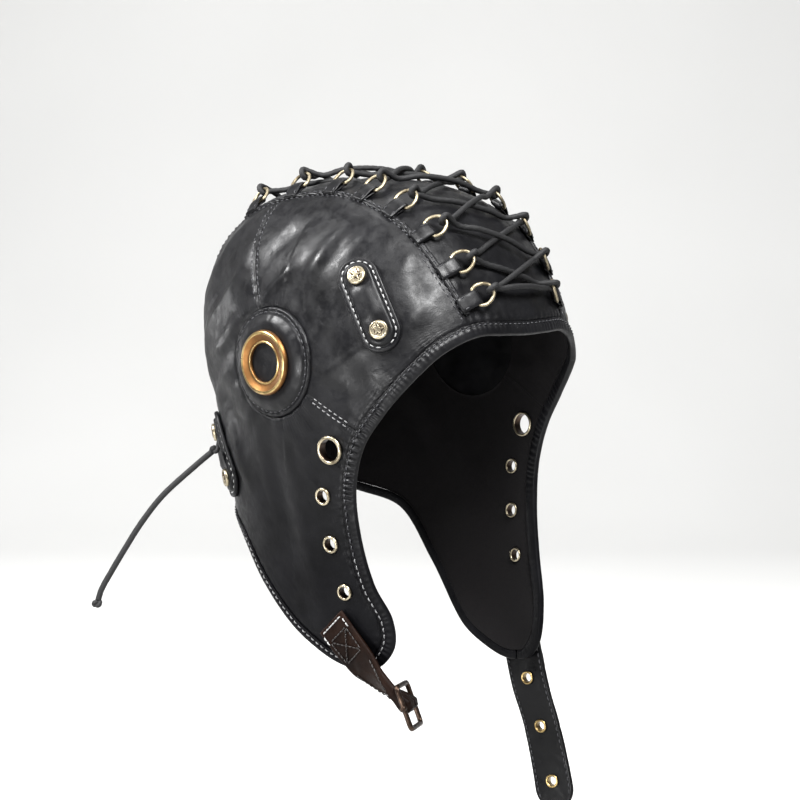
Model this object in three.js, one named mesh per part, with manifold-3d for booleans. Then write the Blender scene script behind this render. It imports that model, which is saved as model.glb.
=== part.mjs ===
// Aviator hat of soft black leather: a laced three-part crown, padded ear discs with brass rings,
// and two long ear flaps with a chin strap on one and a buckle on the other.
// Millimetres, +Z up. The wearer looks along -Y and has +X on the left. The origin is the inner
// face of the leather at the top of the crown, where a head carries the hat.
import * as THREE from "three";
import * as BufferGeometryUtils from "three/addons/utils/BufferGeometryUtils.js";
import Module from "manifold-3d";

const wasm = await Module();
wasm.setup();

// Leather walls and the clearance between neighbouring pieces
const WALL = 2.0;
const GAP = 0.3;

// The form that a head gives the hat: a rounded dome over a tube. The sizes are those of the outer
// leather at its widest ring, and lean is how far that ring lies in front of the crown's top.
const FORM = { side: 79, front: 86.5, back: 100, height: 92, plan: 2.5, profile: 2.4, lean: 14 };
const WIDEST_Z = WALL - FORM.height;

// How the tube narrows below its widest ring, as factors on the three sizes
const TAPER = [
  { depth: 0, side: 1.0, front: 1.0, back: 1.0 },
  { depth: 30, side: 0.98, front: 1.0, back: 0.935 },
  { depth: 60, side: 0.945, front: 1.0, back: 0.865 },
  { depth: 90, side: 0.9, front: 0.99, back: 0.82 },
  { depth: 120, side: 0.85, front: 0.97, back: 0.78 },
  { depth: 165, side: 0.77, front: 0.94, back: 0.74 },
];

// Broad folds and swells of the leather, by their place in side view, half sizes, the turn of the
// long axis from the horizontal in degrees, and the height above the plain form
const FOLDS = [
  { y: 36, z: -116, long: 34, wide: 11, turn: 52, height: -2.4 },
  { y: 4, z: -146, long: 38, wide: 13, turn: 82, height: -2.0 },
  { y: -18, z: -176, long: 44, wide: 12, turn: 84, height: 1.5 },
  { y: 44, z: -62, long: 40, wide: 13, turn: 70, height: -1.8 },
  { y: 70, z: -84, long: 42, wide: 15, turn: 78, height: 1.6 },
  { y: -46, z: -88, long: 24, wide: 10, turn: 48, height: -1.5 },
  { y: -22, z: -40, long: 34, wide: 13, turn: 12, height: 1.4 },
];

// Seam between the centre panel and a side panel: half width of the strip at an angle round the
// ear axis, 0 at the top of the crown and negative towards the brow
const STRIP = [
  { angle: -90, half: 31 },
  { angle: -78, half: 34 },
  { angle: -60, half: 40 },
  { angle: -43, half: 43 },
  { angle: -22, half: 43 },
  { angle: 0, half: 40 },
  { angle: 20, half: 42 },
  { angle: 60, half: 42 },
  { angle: 95, half: 39 },
  { angle: 130, half: 33 },
];
const CORONAL_ANGLE = 20;

// Edge of the face opening, from the brow to the tip of the flap: a row gives x and z on the front
// of the form, or y and z on its side
const FACE_HEM = [
  { x: 0, z: -73 },
  { x: 17, z: -72.6 },
  { x: 34, z: -73 },
  { y: -83.5, z: -81.6 },
  { y: -71.5, z: -98.5 },
  { y: -62, z: -111 },
  { y: -53, z: -125 },
  { y: -47.5, z: -145 },
  { y: -48, z: -168 },
  { y: -53, z: -192 },
  { y: -60.5, z: -213 },
  { y: -60.5, z: -229 },
  { y: -52.5, z: -239.5 },
  { y: -45, z: -241.2 },
];
const BROW_ROWS = 2;
const FLAP_SEAM_ROW = 5.7;

// Edge behind the flap, from the nape to the tip
const NAPE_HEM = [
  { x: 0, z: -160 },
  { x: 17, z: -161 },
  { x: 33, z: -164 },
  { y: 57, z: -168 },
  { y: 40, z: -176 },
  { y: 19, z: -202 },
  { y: -6, z: -229.5 },
  { y: -23, z: -238.5 },
  { y: -37.5, z: -242 },
  { y: -45, z: -241.2 },
];
const NAPE_ROWS = 2;

// The wearer's left flap hangs a little lower than the right one
const FLAP_DROP = 8;
const DROP_FROM_Z = -185;
const DROP_OVER = 45;

const BINDING = { face: 6.5, nape: 4.5, proud: 0.6, fold: 1.2 };
const HEM_GAP = 0.25;
const END_GAP = 0.05;

// Ear disc, and its pressed brass ring with a raised crest and a dished middle
const EAR = { y: 1.5, z: -87, radius: 26.75, pad: 2.6, rim: 0.5, flat: 17.5, rings: [9, 23.5], parts: 14 };
const EAR_RING = { outer: 15.85, hole: 9.35, edge: 1.1, land: 1.6, crest: 2.6, dish: 0.9, low: 1.0 };

// Where the flap seam and the coronal seam meet the disc, and where the flap's nape corner and tip
// look at it, in degrees from straight up towards the back
const DISC_SEAMS = { coronal: 19, flap: 238, napeCorner: 100, tip: 150 };

// Eyelets down each flap, and the shell of every eyelet
const EYELET = { barrel: 0.6, dome: 1.1, roll: 0.8, back: 0.4 };
const FLAP_EYELETS = [
  { y: -35.5, z: -127, outer: 7, hole: 5.15, gap: 0.6, sides: 10 },
  { y: -29.5, z: -149.8, outer: 4.4, hole: 2.9, gap: 0.45, sides: 8 },
  { y: -31.8, z: -173, outer: 4.4, hole: 2.9, gap: 0.45, sides: 8 },
  { y: -37.5, z: -196, outer: 4.1, hole: 2.7, gap: 0.45, sides: 8 },
];

// Lozenge tabs, by the places of their two rivets
const TABS = [
  { name: "side_tab", from: { y: -46, z: -46 }, to: { y: -60.5, z: -70 } },
  { name: "rear_tab", from: { y: 59, z: -126.5 }, to: { y: 44.5, z: -148 } },
];
const TAB = { reach: 10.5, half: 10, base: 1.5, raised: 2.7, border: 2.6, slope: 0.6 };
const TAB_LENGTHS = [-1, -0.92, -0.75, -0.5, 0, 0.5, 0.75, 0.92, 1];
const TAB_CROSSES = [-1, -0.7, 0, 0.7, 1];
const RIVET = { radius: 4.6, height: 2.0, lift: 3.45, crown: 0.8 };

// Wire rings along the strip seam, by their angle round the ear axis
const RING_ANGLES = [-68, -56.8, -43.4, -30.3, -16.4, -2, 15, 33];
const RING = { width: 12, length: 11, wire: 0.85, out: 8, lift: 2.1, tilt: 17, shoulder: 0.5 };
const LOOP = { width: 7.5, end: 9.9, nose: 0.6, height: 4.0, root: -1.8, rootHeight: 2.6, lift: 0.5 };
const LOOP_STRIP = { before: 3, after: 4, spans: 12, half: 1.6, bottom: 0.45, top: 1.4 };

// The crown lace, the way it passes round a ring's bow, and its two loose ends
const LACE = { radius: 1.4, low: 2.4, rise: 0.3, high: 5.0, sides: 5, stops: [0.18, 0.5, 0.82] };
const LACE_TURN = [
  { out: 1.5, lift: 3.05 },
  { out: -2.75, lift: 1.85 },
  { out: -2.75, lift: -1.85 },
  { out: 1.5, lift: -3.05 },
];
const LACE_TAIL = { angles: [52, 45, 40], from: 36, slope: 0.55 };

// Straps
const CHIN_STRAP = [
  { x: 68.9, y: -33, z: -216, turn: -6 },
  { x: 67, y: -38, z: -230, turn: -9 },
  { x: 65.2, y: -43, z: -246, turn: -10 },
  { x: 64, y: -48.5, z: -263, turn: -8 },
  { x: 65.5, y: -54.5, z: -282, turn: -6 },
  { x: 65.5, y: -60.5, z: -302, turn: -10 },
  { x: 64.2, y: -67, z: -326, turn: -14 },
];
const CHIN = { half: 11, thick: 2.2, taperFrom: 0.93, taper: 0.75, outer: 4, hole: 2.3 };
const CHIN_EYELETS = [0.47, 0.69, 0.91];

const BUCKLE_STRAP = [
  { x: -69.7, y: -29.7, z: -211.3, turn: 0, thick: 2.4 },
  { x: -68.2, y: -38.8, z: -221, turn: 2, thick: 2.4 },
  { x: -66.2, y: -47.3, z: -229.8, turn: 10, thick: 2.8 },
  { x: -63.6, y: -55.8, z: -237.2, turn: 36, thick: 3 },
  { x: -60.6, y: -63.9, z: -243.2, turn: 59, thick: 3.1 },
  { x: -57.4, y: -71.2, z: -249.4, turn: 66, thick: 5.2 },
];
const BUCKLE = { half: 9.6, width: 26, length: 23, bar: 2.4, corner: 2.4, window: 0.9, tilt: -30 };

// The buckle's cross pin, the fold of strap round it and the prong that turns on it
const PIN = { radius: 1.2, end: 1.5, hole: 1.55, over: 2.6 };
const PRONG = { wall: 1.1, wide: 2.6, radius: 0.95, past: 0.4, root: 0.2 };
const PRONG_SLOT = { size: 14, wide: 3.4, at: 1.4 };

// Drawcord: out of its stop knot on the right rear tab, then down in a stiff curve. A row gives the
// distance out from the hat and the drop, in millimetres from the exit.
const CORD_START = { x: -70.2, y: 51.2, z: -135.2 };
const CORD_HEADING = { x: -0.656, y: 0.755 };
const CORD_ROUTE = [
  { out: 0, down: 0 },
  { out: 5, down: 4.1 },
  { out: 10.2, down: 8.6 },
  { out: 15.5, down: 13.2 },
  { out: 20.4, down: 17.6 },
  { out: 25.2, down: 22.3 },
  { out: 29.6, down: 27.4 },
  { out: 33.4, down: 32.4 },
  { out: 37, down: 37.4 },
  { out: 40.4, down: 42.6 },
  { out: 43.6, down: 47.8 },
  { out: 46.8, down: 53 },
  { out: 49.8, down: 58 },
  { out: 52.6, down: 62.8 },
  { out: 55.3, down: 67.4 },
  { out: 57.4, down: 71.8 },
  { out: 58.6, down: 76 },
];
const CORD = { radius: 1.5, knot: 2.6, step: 7 };

const SMOOTH = { eyelet: 10, smallEyelet: 8, rivet: 8, pin: 8, wire: 5, earRing: 16 };
const DRILL_LENGTH = 30;

const COLOURS = {
  leather: { color: 0x1c1c1e, roughness: 0.42, metalness: 0 },
  brown: { color: 0x2a1d18, roughness: 0.5, metalness: 0 },
  brass: { color: 0x9a7440, roughness: 0.35, metalness: 1 },
  gold: { color: 0xb9a171, roughness: 0.3, metalness: 1 },
  bronze: { color: 0x3a312b, roughness: 0.4, metalness: 1 },
  cord: { color: 0x101012, roughness: 0.75, metalness: 0 },
};

const WELD = 1e-4;
const UP = new THREE.Vector3(0, 0, 1);
const SIDES = { r: -1, l: 1 };

const hat = new THREE.Group();
const radians = THREE.MathUtils.degToRad;
const mix = THREE.MathUtils.lerp;
const step = THREE.MathUtils.smoothstep;

function spread(from, to, count) {
  return Array.from({ length: count + 1 }, (_, i) => mix(from, to, i / count));
}

function addPiece(name, geometry, finish, matrix) {
  const piece = new THREE.Mesh(geometry, new THREE.MeshStandardMaterial(COLOURS[finish]));
  piece.name = name;
  if (matrix) piece.applyMatrix4(matrix);
  hat.add(piece);
  return piece;
}

// A smooth curve through the rows of a table
function through(rows, key, column, at) {
  const last = rows.length - 1;
  const place = THREE.MathUtils.clamp(at, rows[0][key], rows[last][key]);
  let i = 0;
  while (i < last - 1 && rows[i + 1][key] < place) i++;
  const slope = (k) => {
    const before = rows[Math.max(k - 1, 0)];
    const after = rows[Math.min(k + 1, last)];
    return (after[column] - before[column]) / (after[key] - before[key]);
  };
  const width = rows[i + 1][key] - rows[i][key];
  const t = (place - rows[i][key]) / width;
  const [t2, t3] = [t * t, t * t * t];
  return (2 * t3 - 3 * t2 + 1) * rows[i][column] + (t3 - 2 * t2 + t) * width * slope(i)
    + (3 * t2 - 2 * t3) * rows[i + 1][column] + (t3 - t2) * width * slope(i + 1);
}

// Height of the folds at a place in side view
function foldHeight(y, z) {
  let height = 0;
  for (const fold of FOLDS) {
    const [c, s] = [Math.cos(radians(fold.turn)), Math.sin(radians(fold.turn))];
    const along = ((y - fold.y) * c + (z - fold.z) * s) / fold.long;
    const across = ((z - fold.z) * c - (y - fold.y) * s) / fold.wide;
    height += fold.height * Math.exp(-2 * (along * along + across * across));
  }
  return height;
}

// Length of a direction from the middle of the form to its plain surface, before lean and taper
function reach(x, y, z) {
  const across = y < 0 ? FORM.front : FORM.back;
  const plan = (Math.abs(x) / FORM.side) ** FORM.plan + (Math.abs(y) / across) ** FORM.plan;
  const rise = Math.max(z, 0) / FORM.height;
  return (plan ** (FORM.profile / FORM.plan) + rise ** FORM.profile) ** (-1 / FORM.profile);
}

function plainPoint(direction) {
  const point = direction.clone().multiplyScalar(reach(direction.x, direction.y, direction.z));
  const depth = Math.max(-point.z, 0);
  const rise = THREE.MathUtils.clamp(point.z / FORM.height, 0, 1);
  point.x *= through(TAPER, "depth", "side", depth);
  point.y *= through(TAPER, "depth", point.y < 0 ? "front" : "back", depth);
  point.y -= FORM.lean * (1 - rise) ** 2;
  point.z += WIDEST_Z;
  return point;
}

function outward(direction) {
  const unit = direction.clone().normalize();
  const hint = Math.abs(unit.z) < 0.9 ? new THREE.Vector3(0, 0, 1) : new THREE.Vector3(0, 1, 0);
  const first = new THREE.Vector3().crossVectors(hint, unit).normalize().multiplyScalar(1e-3);
  const second = new THREE.Vector3().crossVectors(unit, first);
  const along = (shift) => plainPoint(unit.clone().add(shift))
    .sub(plainPoint(unit.clone().sub(shift)));
  return new THREE.Vector3().crossVectors(along(first), along(second)).normalize();
}

// Point of the leather in a direction, raised by a height above its outer face
function skin(direction, lift = 0) {
  const point = plainPoint(direction);
  return point.addScaledVector(outward(direction), lift + foldHeight(point.y, point.z));
}

// Direction of any point near the leather
function heading(point) {
  const height = point.z - WIDEST_Z;
  const depth = Math.max(-height, 0);
  const rise = THREE.MathUtils.clamp(height / FORM.height, 0, 1);
  const y = point.y + FORM.lean * (1 - rise) ** 2;
  const factor = through(TAPER, "depth", y < 0 ? "front" : "back", depth);
  return new THREE.Vector3(point.x / through(TAPER, "depth", "side", depth), y / factor, height);
}

// What is left of the plan's unit ring at a height above the widest ring
function levelRing(height) {
  const rise = Math.max(height / FORM.height, 0);
  return Math.max(1 - rise ** FORM.profile, 0) ** (FORM.plan / FORM.profile);
}

// Direction of the form's point at y and z in side view, or at x and z on its front or back
function sideHeading(y, z, side) {
  const flat = heading(new THREE.Vector3(0, y, z));
  const across = flat.y < 0 ? FORM.front : FORM.back;
  const left = levelRing(flat.z) - (Math.abs(flat.y) / across) ** FORM.plan;
  flat.x = side * FORM.side * Math.max(left, 1e-6) ** (1 / FORM.plan);
  return flat;
}

function endHeading(x, z, end) {
  const flat = heading(new THREE.Vector3(x, 0, z));
  const across = end < 0 ? FORM.front : FORM.back;
  const left = levelRing(flat.z) - (Math.abs(flat.x) / FORM.side) ** FORM.plan;
  flat.y = end * across * left ** (1 / FORM.plan);
  return flat;
}

// Direction on the strip at an angle round the ear axis and a distance from the middle plane
function stripHeading(angle, x) {
  const [s, c] = [Math.sin(radians(angle)), Math.cos(radians(angle))];
  let slope = 0;
  for (let i = 0; i < 16; i++) {
    const length = reach(slope, s, c);
    const depth = Math.max(-length * c, 0);
    slope = x / (length * through(TAPER, "depth", "side", depth));
  }
  return new THREE.Vector3(slope, s, c);
}

const stripHalf = (angle) => through(STRIP, "angle", "half", angle);

// Joins equal corners, drops collapsed triangles and turns every face outwards
function closedBody(positions, triangles) {
  const raw = new THREE.BufferGeometry();
  const numbers = positions.flatMap((point) => point.toArray());
  raw.setAttribute("position", new THREE.Float32BufferAttribute(numbers, 3));
  raw.setIndex(triangles);
  const merged = BufferGeometryUtils.mergeVertices(raw, WELD);
  const kept = [];
  let volume = 0;
  const corner = (i) => new THREE.Vector3().fromBufferAttribute(merged.attributes.position, i);
  for (let i = 0; i < merged.index.count; i += 3) {
    const [a, b, c] = merged.index.array.slice(i, i + 3);
    if (a === b || b === c || c === a) continue;
    kept.push([a, b, c]);
    volume += corner(a).dot(corner(b).cross(corner(c)));
  }
  merged.setIndex(kept.flatMap(([a, b, c]) => (volume < 0 ? [a, c, b] : [a, b, c])));
  return merged;
}

// A wall between two faces given on the same grid of points
function wallBetween(top, bottom, round = false) {
  const rows = top.length;
  const columns = top[0].length;
  const positions = [...top.flat(), ...bottom.flat()];
  const at = (layer, i, j) => layer * rows * columns + i * columns + j;
  const triangles = [];
  const quad = (a, b, c, d) => triangles.push(a, b, c, a, c, d);
  for (let i = 0; i < rows - 1; i++) {
    for (let j = 0; j < columns - 1; j++) {
      quad(at(0, i, j), at(0, i + 1, j), at(0, i + 1, j + 1), at(0, i, j + 1));
      quad(at(1, i, j), at(1, i, j + 1), at(1, i + 1, j + 1), at(1, i + 1, j));
    }
    if (round) continue;
    quad(at(0, i, 0), at(1, i, 0), at(1, i + 1, 0), at(0, i + 1, 0));
    const end = columns - 1;
    quad(at(0, i, end), at(0, i + 1, end), at(1, i + 1, end), at(1, i, end));
  }
  for (let j = 0; j < columns - 1; j++) {
    const end = rows - 1;
    quad(at(0, 0, j), at(0, 0, j + 1), at(1, 0, j + 1), at(1, 0, j));
    quad(at(0, end, j), at(1, end, j), at(1, end, j + 1), at(0, end, j + 1));
  }
  return closedBody(positions, triangles);
}

function leatherWall(headings) {
  const face = (lift) => headings.map((row) => row.map((direction) => skin(direction, lift)));
  return wallBetween(face(0), face(-WALL));
}

// A solid whose outline is carried through a list of sections
function sectionBody(sections, round = false) {
  const count = sections[0].length;
  const positions = sections.flat();
  const triangles = [];
  const rings = sections.length;
  const spans = round ? rings : rings - 1;
  for (let i = 0; i < spans; i++) {
    const next = (i + 1) % rings;
    for (let j = 0; j < count; j++) {
      const [a, b] = [i * count + j, i * count + ((j + 1) % count)];
      const [c, d] = [next * count + ((j + 1) % count), next * count + j];
      triangles.push(a, b, c, a, c, d);
    }
  }
  if (!round) {
    const last = (rings - 1) * count;
    for (let j = 1; j < count - 1; j++) {
      triangles.push(0, j + 1, j, last, last + j, last + j + 1);
    }
  }
  return closedBody(positions, triangles);
}

// A round wire or lace through points, open or joined end to end
function wireBody(points, radius, sides, round = false) {
  const count = points.length;
  const tangent = (i) => {
    const before = round ? points[(i + count - 1) % count] : points[Math.max(i - 1, 0)];
    const after = round ? points[(i + 1) % count] : points[Math.min(i + 1, count - 1)];
    return after.clone().sub(before).normalize();
  };
  const across = new THREE.Vector3(0.31, 0.2, 0.93).cross(tangent(0)).normalize();
  const sections = points.map((point, i) => {
    const along = tangent(i);
    across.addScaledVector(along, -across.dot(along)).normalize();
    const other = along.clone().cross(across);
    return Array.from({ length: sides }, (_, k) => {
      const turn = (2 * Math.PI * k) / sides;
      return point.clone().addScaledVector(across, radius * Math.cos(turn))
        .addScaledVector(other, radius * Math.sin(turn));
    });
  });
  return sectionBody(sections, round);
}

function solidOf(geometry, matrix) {
  const bare = geometry.clone();
  bare.deleteAttribute("normal");
  bare.deleteAttribute("uv");
  if (matrix) bare.applyMatrix4(matrix);
  const merged = BufferGeometryUtils.mergeVertices(bare, WELD);
  const corners = { numProp: 3, vertProperties: merged.attributes.position.array };
  return new wasm.Manifold(new wasm.Mesh({ ...corners, triVerts: new Uint32Array(merged.index.array) }));
}

function geometryOf(solid) {
  const mesh = solid.getMesh();
  const geometry = new THREE.BufferGeometry();
  geometry.setAttribute("position", new THREE.BufferAttribute(mesh.vertProperties, 3));
  geometry.setIndex(new THREE.BufferAttribute(mesh.triVerts, 1));
  return geometry;
}

// Frame with its Z axis along one vector and its X axis near another
function frameAt(point, zAxis, xHint) {
  const z = zAxis.clone().normalize();
  const x = xHint.clone().addScaledVector(z, -xHint.dot(z)).normalize();
  const y = z.clone().cross(x);
  return new THREE.Matrix4().makeBasis(x, y, z).setPosition(point);
}

function seatOn(direction, lift) {
  return frameAt(skin(direction, lift), outward(direction), UP);
}

// A turned piece with its axis along Z
function turned(profile, sides) {
  const corners = profile.map(([radius, height]) => new THREE.Vector2(radius, height));
  return closedFrom(new THREE.LatheGeometry(corners, sides).rotateX(Math.PI / 2));
}

function closedFrom(geometry) {
  geometry.deleteAttribute("normal");
  geometry.deleteAttribute("uv");
  const points = [];
  for (let i = 0; i < geometry.attributes.position.count; i++) {
    points.push(new THREE.Vector3().fromBufferAttribute(geometry.attributes.position, i));
  }
  const index = geometry.index ? [...geometry.index.array] : points.map((_, i) => i);
  return closedBody(points, index);
}

// Edge lines of the hat

function dropped(z, side) {
  return z - side * FLAP_DROP * step(DROP_FROM_Z - z, 0, DROP_OVER);
}

function hemPoint(row, side, end) {
  if (row.x !== undefined) return skin(endHeading(side * row.x, row.z, end));
  return skin(sideHeading(row.y, dropped(row.z, side), side));
}

// Whole hem from one flap tip to the other
function wholeHem(rows, end) {
  const right = rows.slice(1).reverse().map((row) => hemPoint(row, -1, end));
  const left = rows.map((row) => hemPoint(row, 1, end));
  return new THREE.CatmullRomCurve3([...right, ...left]);
}

const FACE_CURVE = wholeHem(FACE_HEM, -1);
const NAPE_CURVE = wholeHem(NAPE_HEM, 1);

// Places along half of each hem where the binding and the panels share their corners, by table row
const FACE_STATIONS = [...spread(0, BROW_ROWS, 3), ...spread(BROW_ROWS, FLAP_SEAM_ROW, 7).slice(1)];
const FLAP_STATIONS = spread(FACE_HEM.length - 1, FLAP_SEAM_ROW, 9);
const NAPE_STATIONS = [
  ...spread(0, NAPE_ROWS, 3),
  ...spread(NAPE_ROWS, NAPE_HEM.length - 1, 11).slice(1),
];

// Parameter of a table row on the whole hem
function rowPlace(rows, row, side) {
  return 0.5 + (side * row) / (2 * (rows.length - 1));
}

// Direction of the point that lies a distance in from the hem
function insetHeading(curve, place, distance, inwardHint) {
  const point = curve.getPoint(place);
  const along = curve.getTangent(place);
  const inward = along.cross(outward(heading(point))).normalize();
  if (inward.dot(inwardHint(point)) < 0) inward.negate();
  return heading(point.addScaledVector(inward, distance));
}

const faceInward = (point) => new THREE.Vector3(0, 20 - point.y, -60 - point.z);
const napeInward = (point) => new THREE.Vector3(0, -10 - point.y, -90 - point.z);

// The binding narrows to the nape's width as it reaches the flap tip
function faceInset(place) {
  const fromTip = Math.min(place, 1 - place) * 2 * (FACE_HEM.length - 1);
  return mix(BINDING.nape, BINDING.face, step(fromTip, 0, 2));
}

function faceEdge(place, extra = 0) {
  return insetHeading(FACE_CURVE, place, faceInset(place) + extra, faceInward);
}

function napeEdge(place, extra = 0) {
  return insetHeading(NAPE_CURVE, place, BINDING.nape + extra, napeInward);
}

// Panels

function discHeading(angle, radius, side) {
  const turn = radians(angle);
  return sideHeading(EAR.y + radius * Math.sin(turn), EAR.z + radius * Math.cos(turn), side);
}

// Directions between two lines, along straight lines of the side view seen from the form's middle
function between(inner, outer, count) {
  const flat = (direction) => direction.clone().divideScalar(Math.abs(direction.x));
  return spread(0, 1, count).map((t) => outer.map((end, j) => flat(inner[j]).lerp(flat(end), t)));
}

const seamTurn = THREE.MathUtils.radToDeg(GAP / 2 / EAR.radius);
const angleOf = (direction) => THREE.MathUtils.radToDeg(Math.atan2(direction.y, direction.z));
const browPlace = (f) => 0.5 + (f * BROW_ROWS) / (2 * (FACE_HEM.length - 1));
const napePlace = (f) => 0.5 + (f * NAPE_ROWS) / (2 * (NAPE_HEM.length - 1));
const BROW_ANGLE = angleOf(faceEdge(browPlace(1), HEM_GAP));
const NAPE_ANGLE = angleOf(napeEdge(napePlace(1), HEM_GAP));
const STRIP_FRONT = spread(CORONAL_ANGLE, BROW_ANGLE, 8);
const STRIP_REAR = spread(CORONAL_ANGLE, NAPE_ANGLE, 9);

// Directions of a side panel's edge along the strip seam
function stripLine(angles, side) {
  return angles.map((angle) => stripHeading(angle, side * (stripHalf(angle) + GAP / 2)));
}

// Directions round the ear disc's hole, shared out over the columns of a panel
function discLine(knots, side) {
  const angles = [knots[0].angle];
  knots.slice(1).forEach((knot, i) => {
    angles.push(...spread(knots[i].angle, knot.angle, knot.column - knots[i].column).slice(1));
  });
  return angles.map((angle) => discHeading(angle, EAR.radius + GAP, side));
}

function frontPanel(side) {
  const strip = stripLine([CORONAL_ANGLE - 0.2, ...STRIP_FRONT.slice(1)], side);
  const hem = FACE_STATIONS.slice(4).map((row) => faceEdge(rowPlace(FACE_HEM, row, side), HEM_GAP));
  const outer = [...strip, ...hem];
  const inner = discLine([
    { column: 0, angle: DISC_SEAMS.coronal - seamTurn },
    { column: outer.length - 1, angle: DISC_SEAMS.flap - 360 + seamTurn },
  ], side);
  return leatherWall(between(inner, outer, 4));
}

function rearPanel(side) {
  const strip = stripLine([CORONAL_ANGLE + 0.2, ...STRIP_REAR.slice(1)], side);
  const nape = NAPE_STATIONS.slice(4).map((row) => napeEdge(rowPlace(NAPE_HEM, row, side), HEM_GAP));
  const faceRows = [...FLAP_STATIONS.slice(1, -1), FLAP_SEAM_ROW + 0.05];
  const face = faceRows.map((row) => faceEdge(rowPlace(FACE_HEM, row, side), HEM_GAP));
  const outer = [...strip, ...nape, ...face];
  const inner = discLine([
    { column: 0, angle: DISC_SEAMS.coronal + seamTurn },
    { column: strip.length - 1, angle: DISC_SEAMS.napeCorner },
    { column: strip.length + nape.length - 1, angle: DISC_SEAMS.tip },
    { column: outer.length - 1, angle: DISC_SEAMS.flap - seamTurn },
  ], side);
  return leatherWall(between(inner, outer, 5));
}

function centrePanel() {
  const stations = [...STRIP_FRONT.slice(1, -1).reverse(), ...STRIP_REAR.slice(0, -1)];
  const columns = spread(-1, 1, 6).map((c) => {
    const start = angleOf(faceEdge(browPlace(c), HEM_GAP));
    const end = angleOf(napeEdge(napePlace(c), HEM_GAP));
    const half = (angle) => stripHalf(angle) - GAP / 2;
    return [start, ...stations, end].map((angle) => stripHeading(angle, c * half(angle)));
  });
  return leatherWall(columns);
}

// A band folded over the hem, by its section: distance in from the hem and height
function binding(curve, inset, inwardHint, rows, stations) {
  const last = stations.at(-1) - END_GAP;
  const half = [...stations.slice(1, -1), last];
  const right = half.toReversed().map((row) => rowPlace(rows, row, -1));
  const left = [0, ...half].map((row) => rowPlace(rows, row, 1));
  const places = [...right, ...left];
  const section = (width) => [
    { across: width - GAP, lift: BINDING.proud },
    { across: BINDING.fold, lift: BINDING.proud },
    { across: 0, lift: -WALL / 2 },
    { across: BINDING.fold, lift: -WALL - BINDING.proud },
    { across: width - GAP, lift: -WALL - BINDING.proud },
  ];
  const sections = places.map((place) => section(inset(place)).map((corner) =>
    skin(insetHeading(curve, place, corner.across, inwardHint), corner.lift)));
  return sectionBody(sections);
}

// Ear discs and rings

function earDisc(side) {
  const centre = sideHeading(EAR.y, EAR.z, side);
  const normal = outward(centre);
  const middle = plainPoint(centre);
  const radii = [0, EAR.rings[0], EAR.flat, EAR.rings[1], EAR.radius];
  const angles = spread(0, 360, EAR.parts);
  const top = radii.map((radius) => angles.map((angle) => {
    const direction = discHeading(angle, radius, side);
    const fall = skin(direction).sub(middle).dot(normal);
    const blend = step(radius, EAR.flat, EAR.radius);
    return skin(direction, mix(EAR.pad - fall, EAR.rim, blend));
  }));
  const bottom = radii.map((radius) => angles.map((angle) => skin(discHeading(angle, radius, side), -WALL)));
  return wallBetween(top, bottom, true);
}

function earRing(side) {
  const centre = sideHeading(EAR.y, EAR.z, side);
  const normal = outward(centre);
  const middle = plainPoint(centre).addScaledVector(normal, EAR.pad + GAP);
  const { outer, hole, edge, land, crest, dish, low } = EAR_RING;
  const profile = [
    [hole, 0], [outer, 0], [outer, edge], [outer - land, crest], [hole + dish, low], [hole, 0],
  ];
  return { geometry: turned(profile, SMOOTH.earRing), seat: frameAt(middle, normal, UP) };
}

// Eyelets

function eyelet(outer, hole, wall, gap, sides) {
  const barrel = hole + EYELET.barrel;
  const foot = -wall - gap;
  const top = gap + EYELET.dome;
  const profile = [
    [hole, top], [outer, gap], [barrel, gap], [barrel, foot],
    [outer - EYELET.back, foot], [hole, foot - EYELET.roll], [hole, top],
  ];
  return turned(profile, sides);
}

// The hole that an eyelet's barrel goes through
function drill(hole, seat, sides) {
  const radius = hole + EYELET.barrel + GAP;
  const bit = new THREE.CylinderGeometry(radius, radius, DRILL_LENGTH / 2, sides).rotateX(Math.PI / 2);
  return solidOf(closedFrom(bit), seat);
}

// Lozenge tabs and rivets

function lozenge(tab, side) {
  const from = skin(sideHeading(tab.from.y, tab.from.z, side));
  const to = skin(sideHeading(tab.to.y, tab.to.z, side));
  const along = to.clone().sub(from);
  const half = along.length() / 2 + TAB.reach;
  const centre = from.clone().lerp(to, 0.5);
  const axis = along.normalize();
  const across = outward(heading(centre)).cross(axis).normalize();
  const point = (a, c, raised) => {
    const end = Math.max(Math.abs(a) - (half - TAB.half), 0) / TAB.half;
    const width = TAB.half * Math.sqrt(Math.max(1 - end * end, 0));
    const inner = Math.min(half - Math.abs(a), width * (1 - Math.abs(c)));
    const rise = step(inner, TAB.border - TAB.slope, TAB.border + TAB.slope);
    const lift = raised ? GAP + mix(TAB.base, TAB.raised, rise) : GAP;
    const near = centre.clone().addScaledVector(axis, a).addScaledVector(across, c * width);
    return skin(heading(near), lift);
  };
  const face = (raised) => TAB_LENGTHS.map((f) => TAB_CROSSES.map((c) => point(f * half, c, raised)));
  return wallBetween(face(true), face(false));
}

function rivet() {
  const { radius, height, crown } = RIVET;
  return turned([[0, 0], [radius, 0], [radius * crown, height * crown], [0, height]], SMOOTH.rivet);
}

// Rings, their loops and the lace

// Frame of a ring's place on the strip seam: x along the seam, y towards the middle, z outward
function ringFrame(angle, side) {
  const here = stripHeading(angle, side * stripHalf(angle));
  const ahead = skin(stripHeading(angle + 1, side * stripHalf(angle + 1)));
  const point = skin(here);
  const frame = frameAt(point, outward(here), ahead.sub(point));
  if (side < 0) return frame;
  return frame.multiply(new THREE.Matrix4().makeScale(1, -1, 1));
}

function place(frame, x, y, z) {
  return new THREE.Vector3(x, -y, z).applyMatrix4(frame);
}

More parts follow.
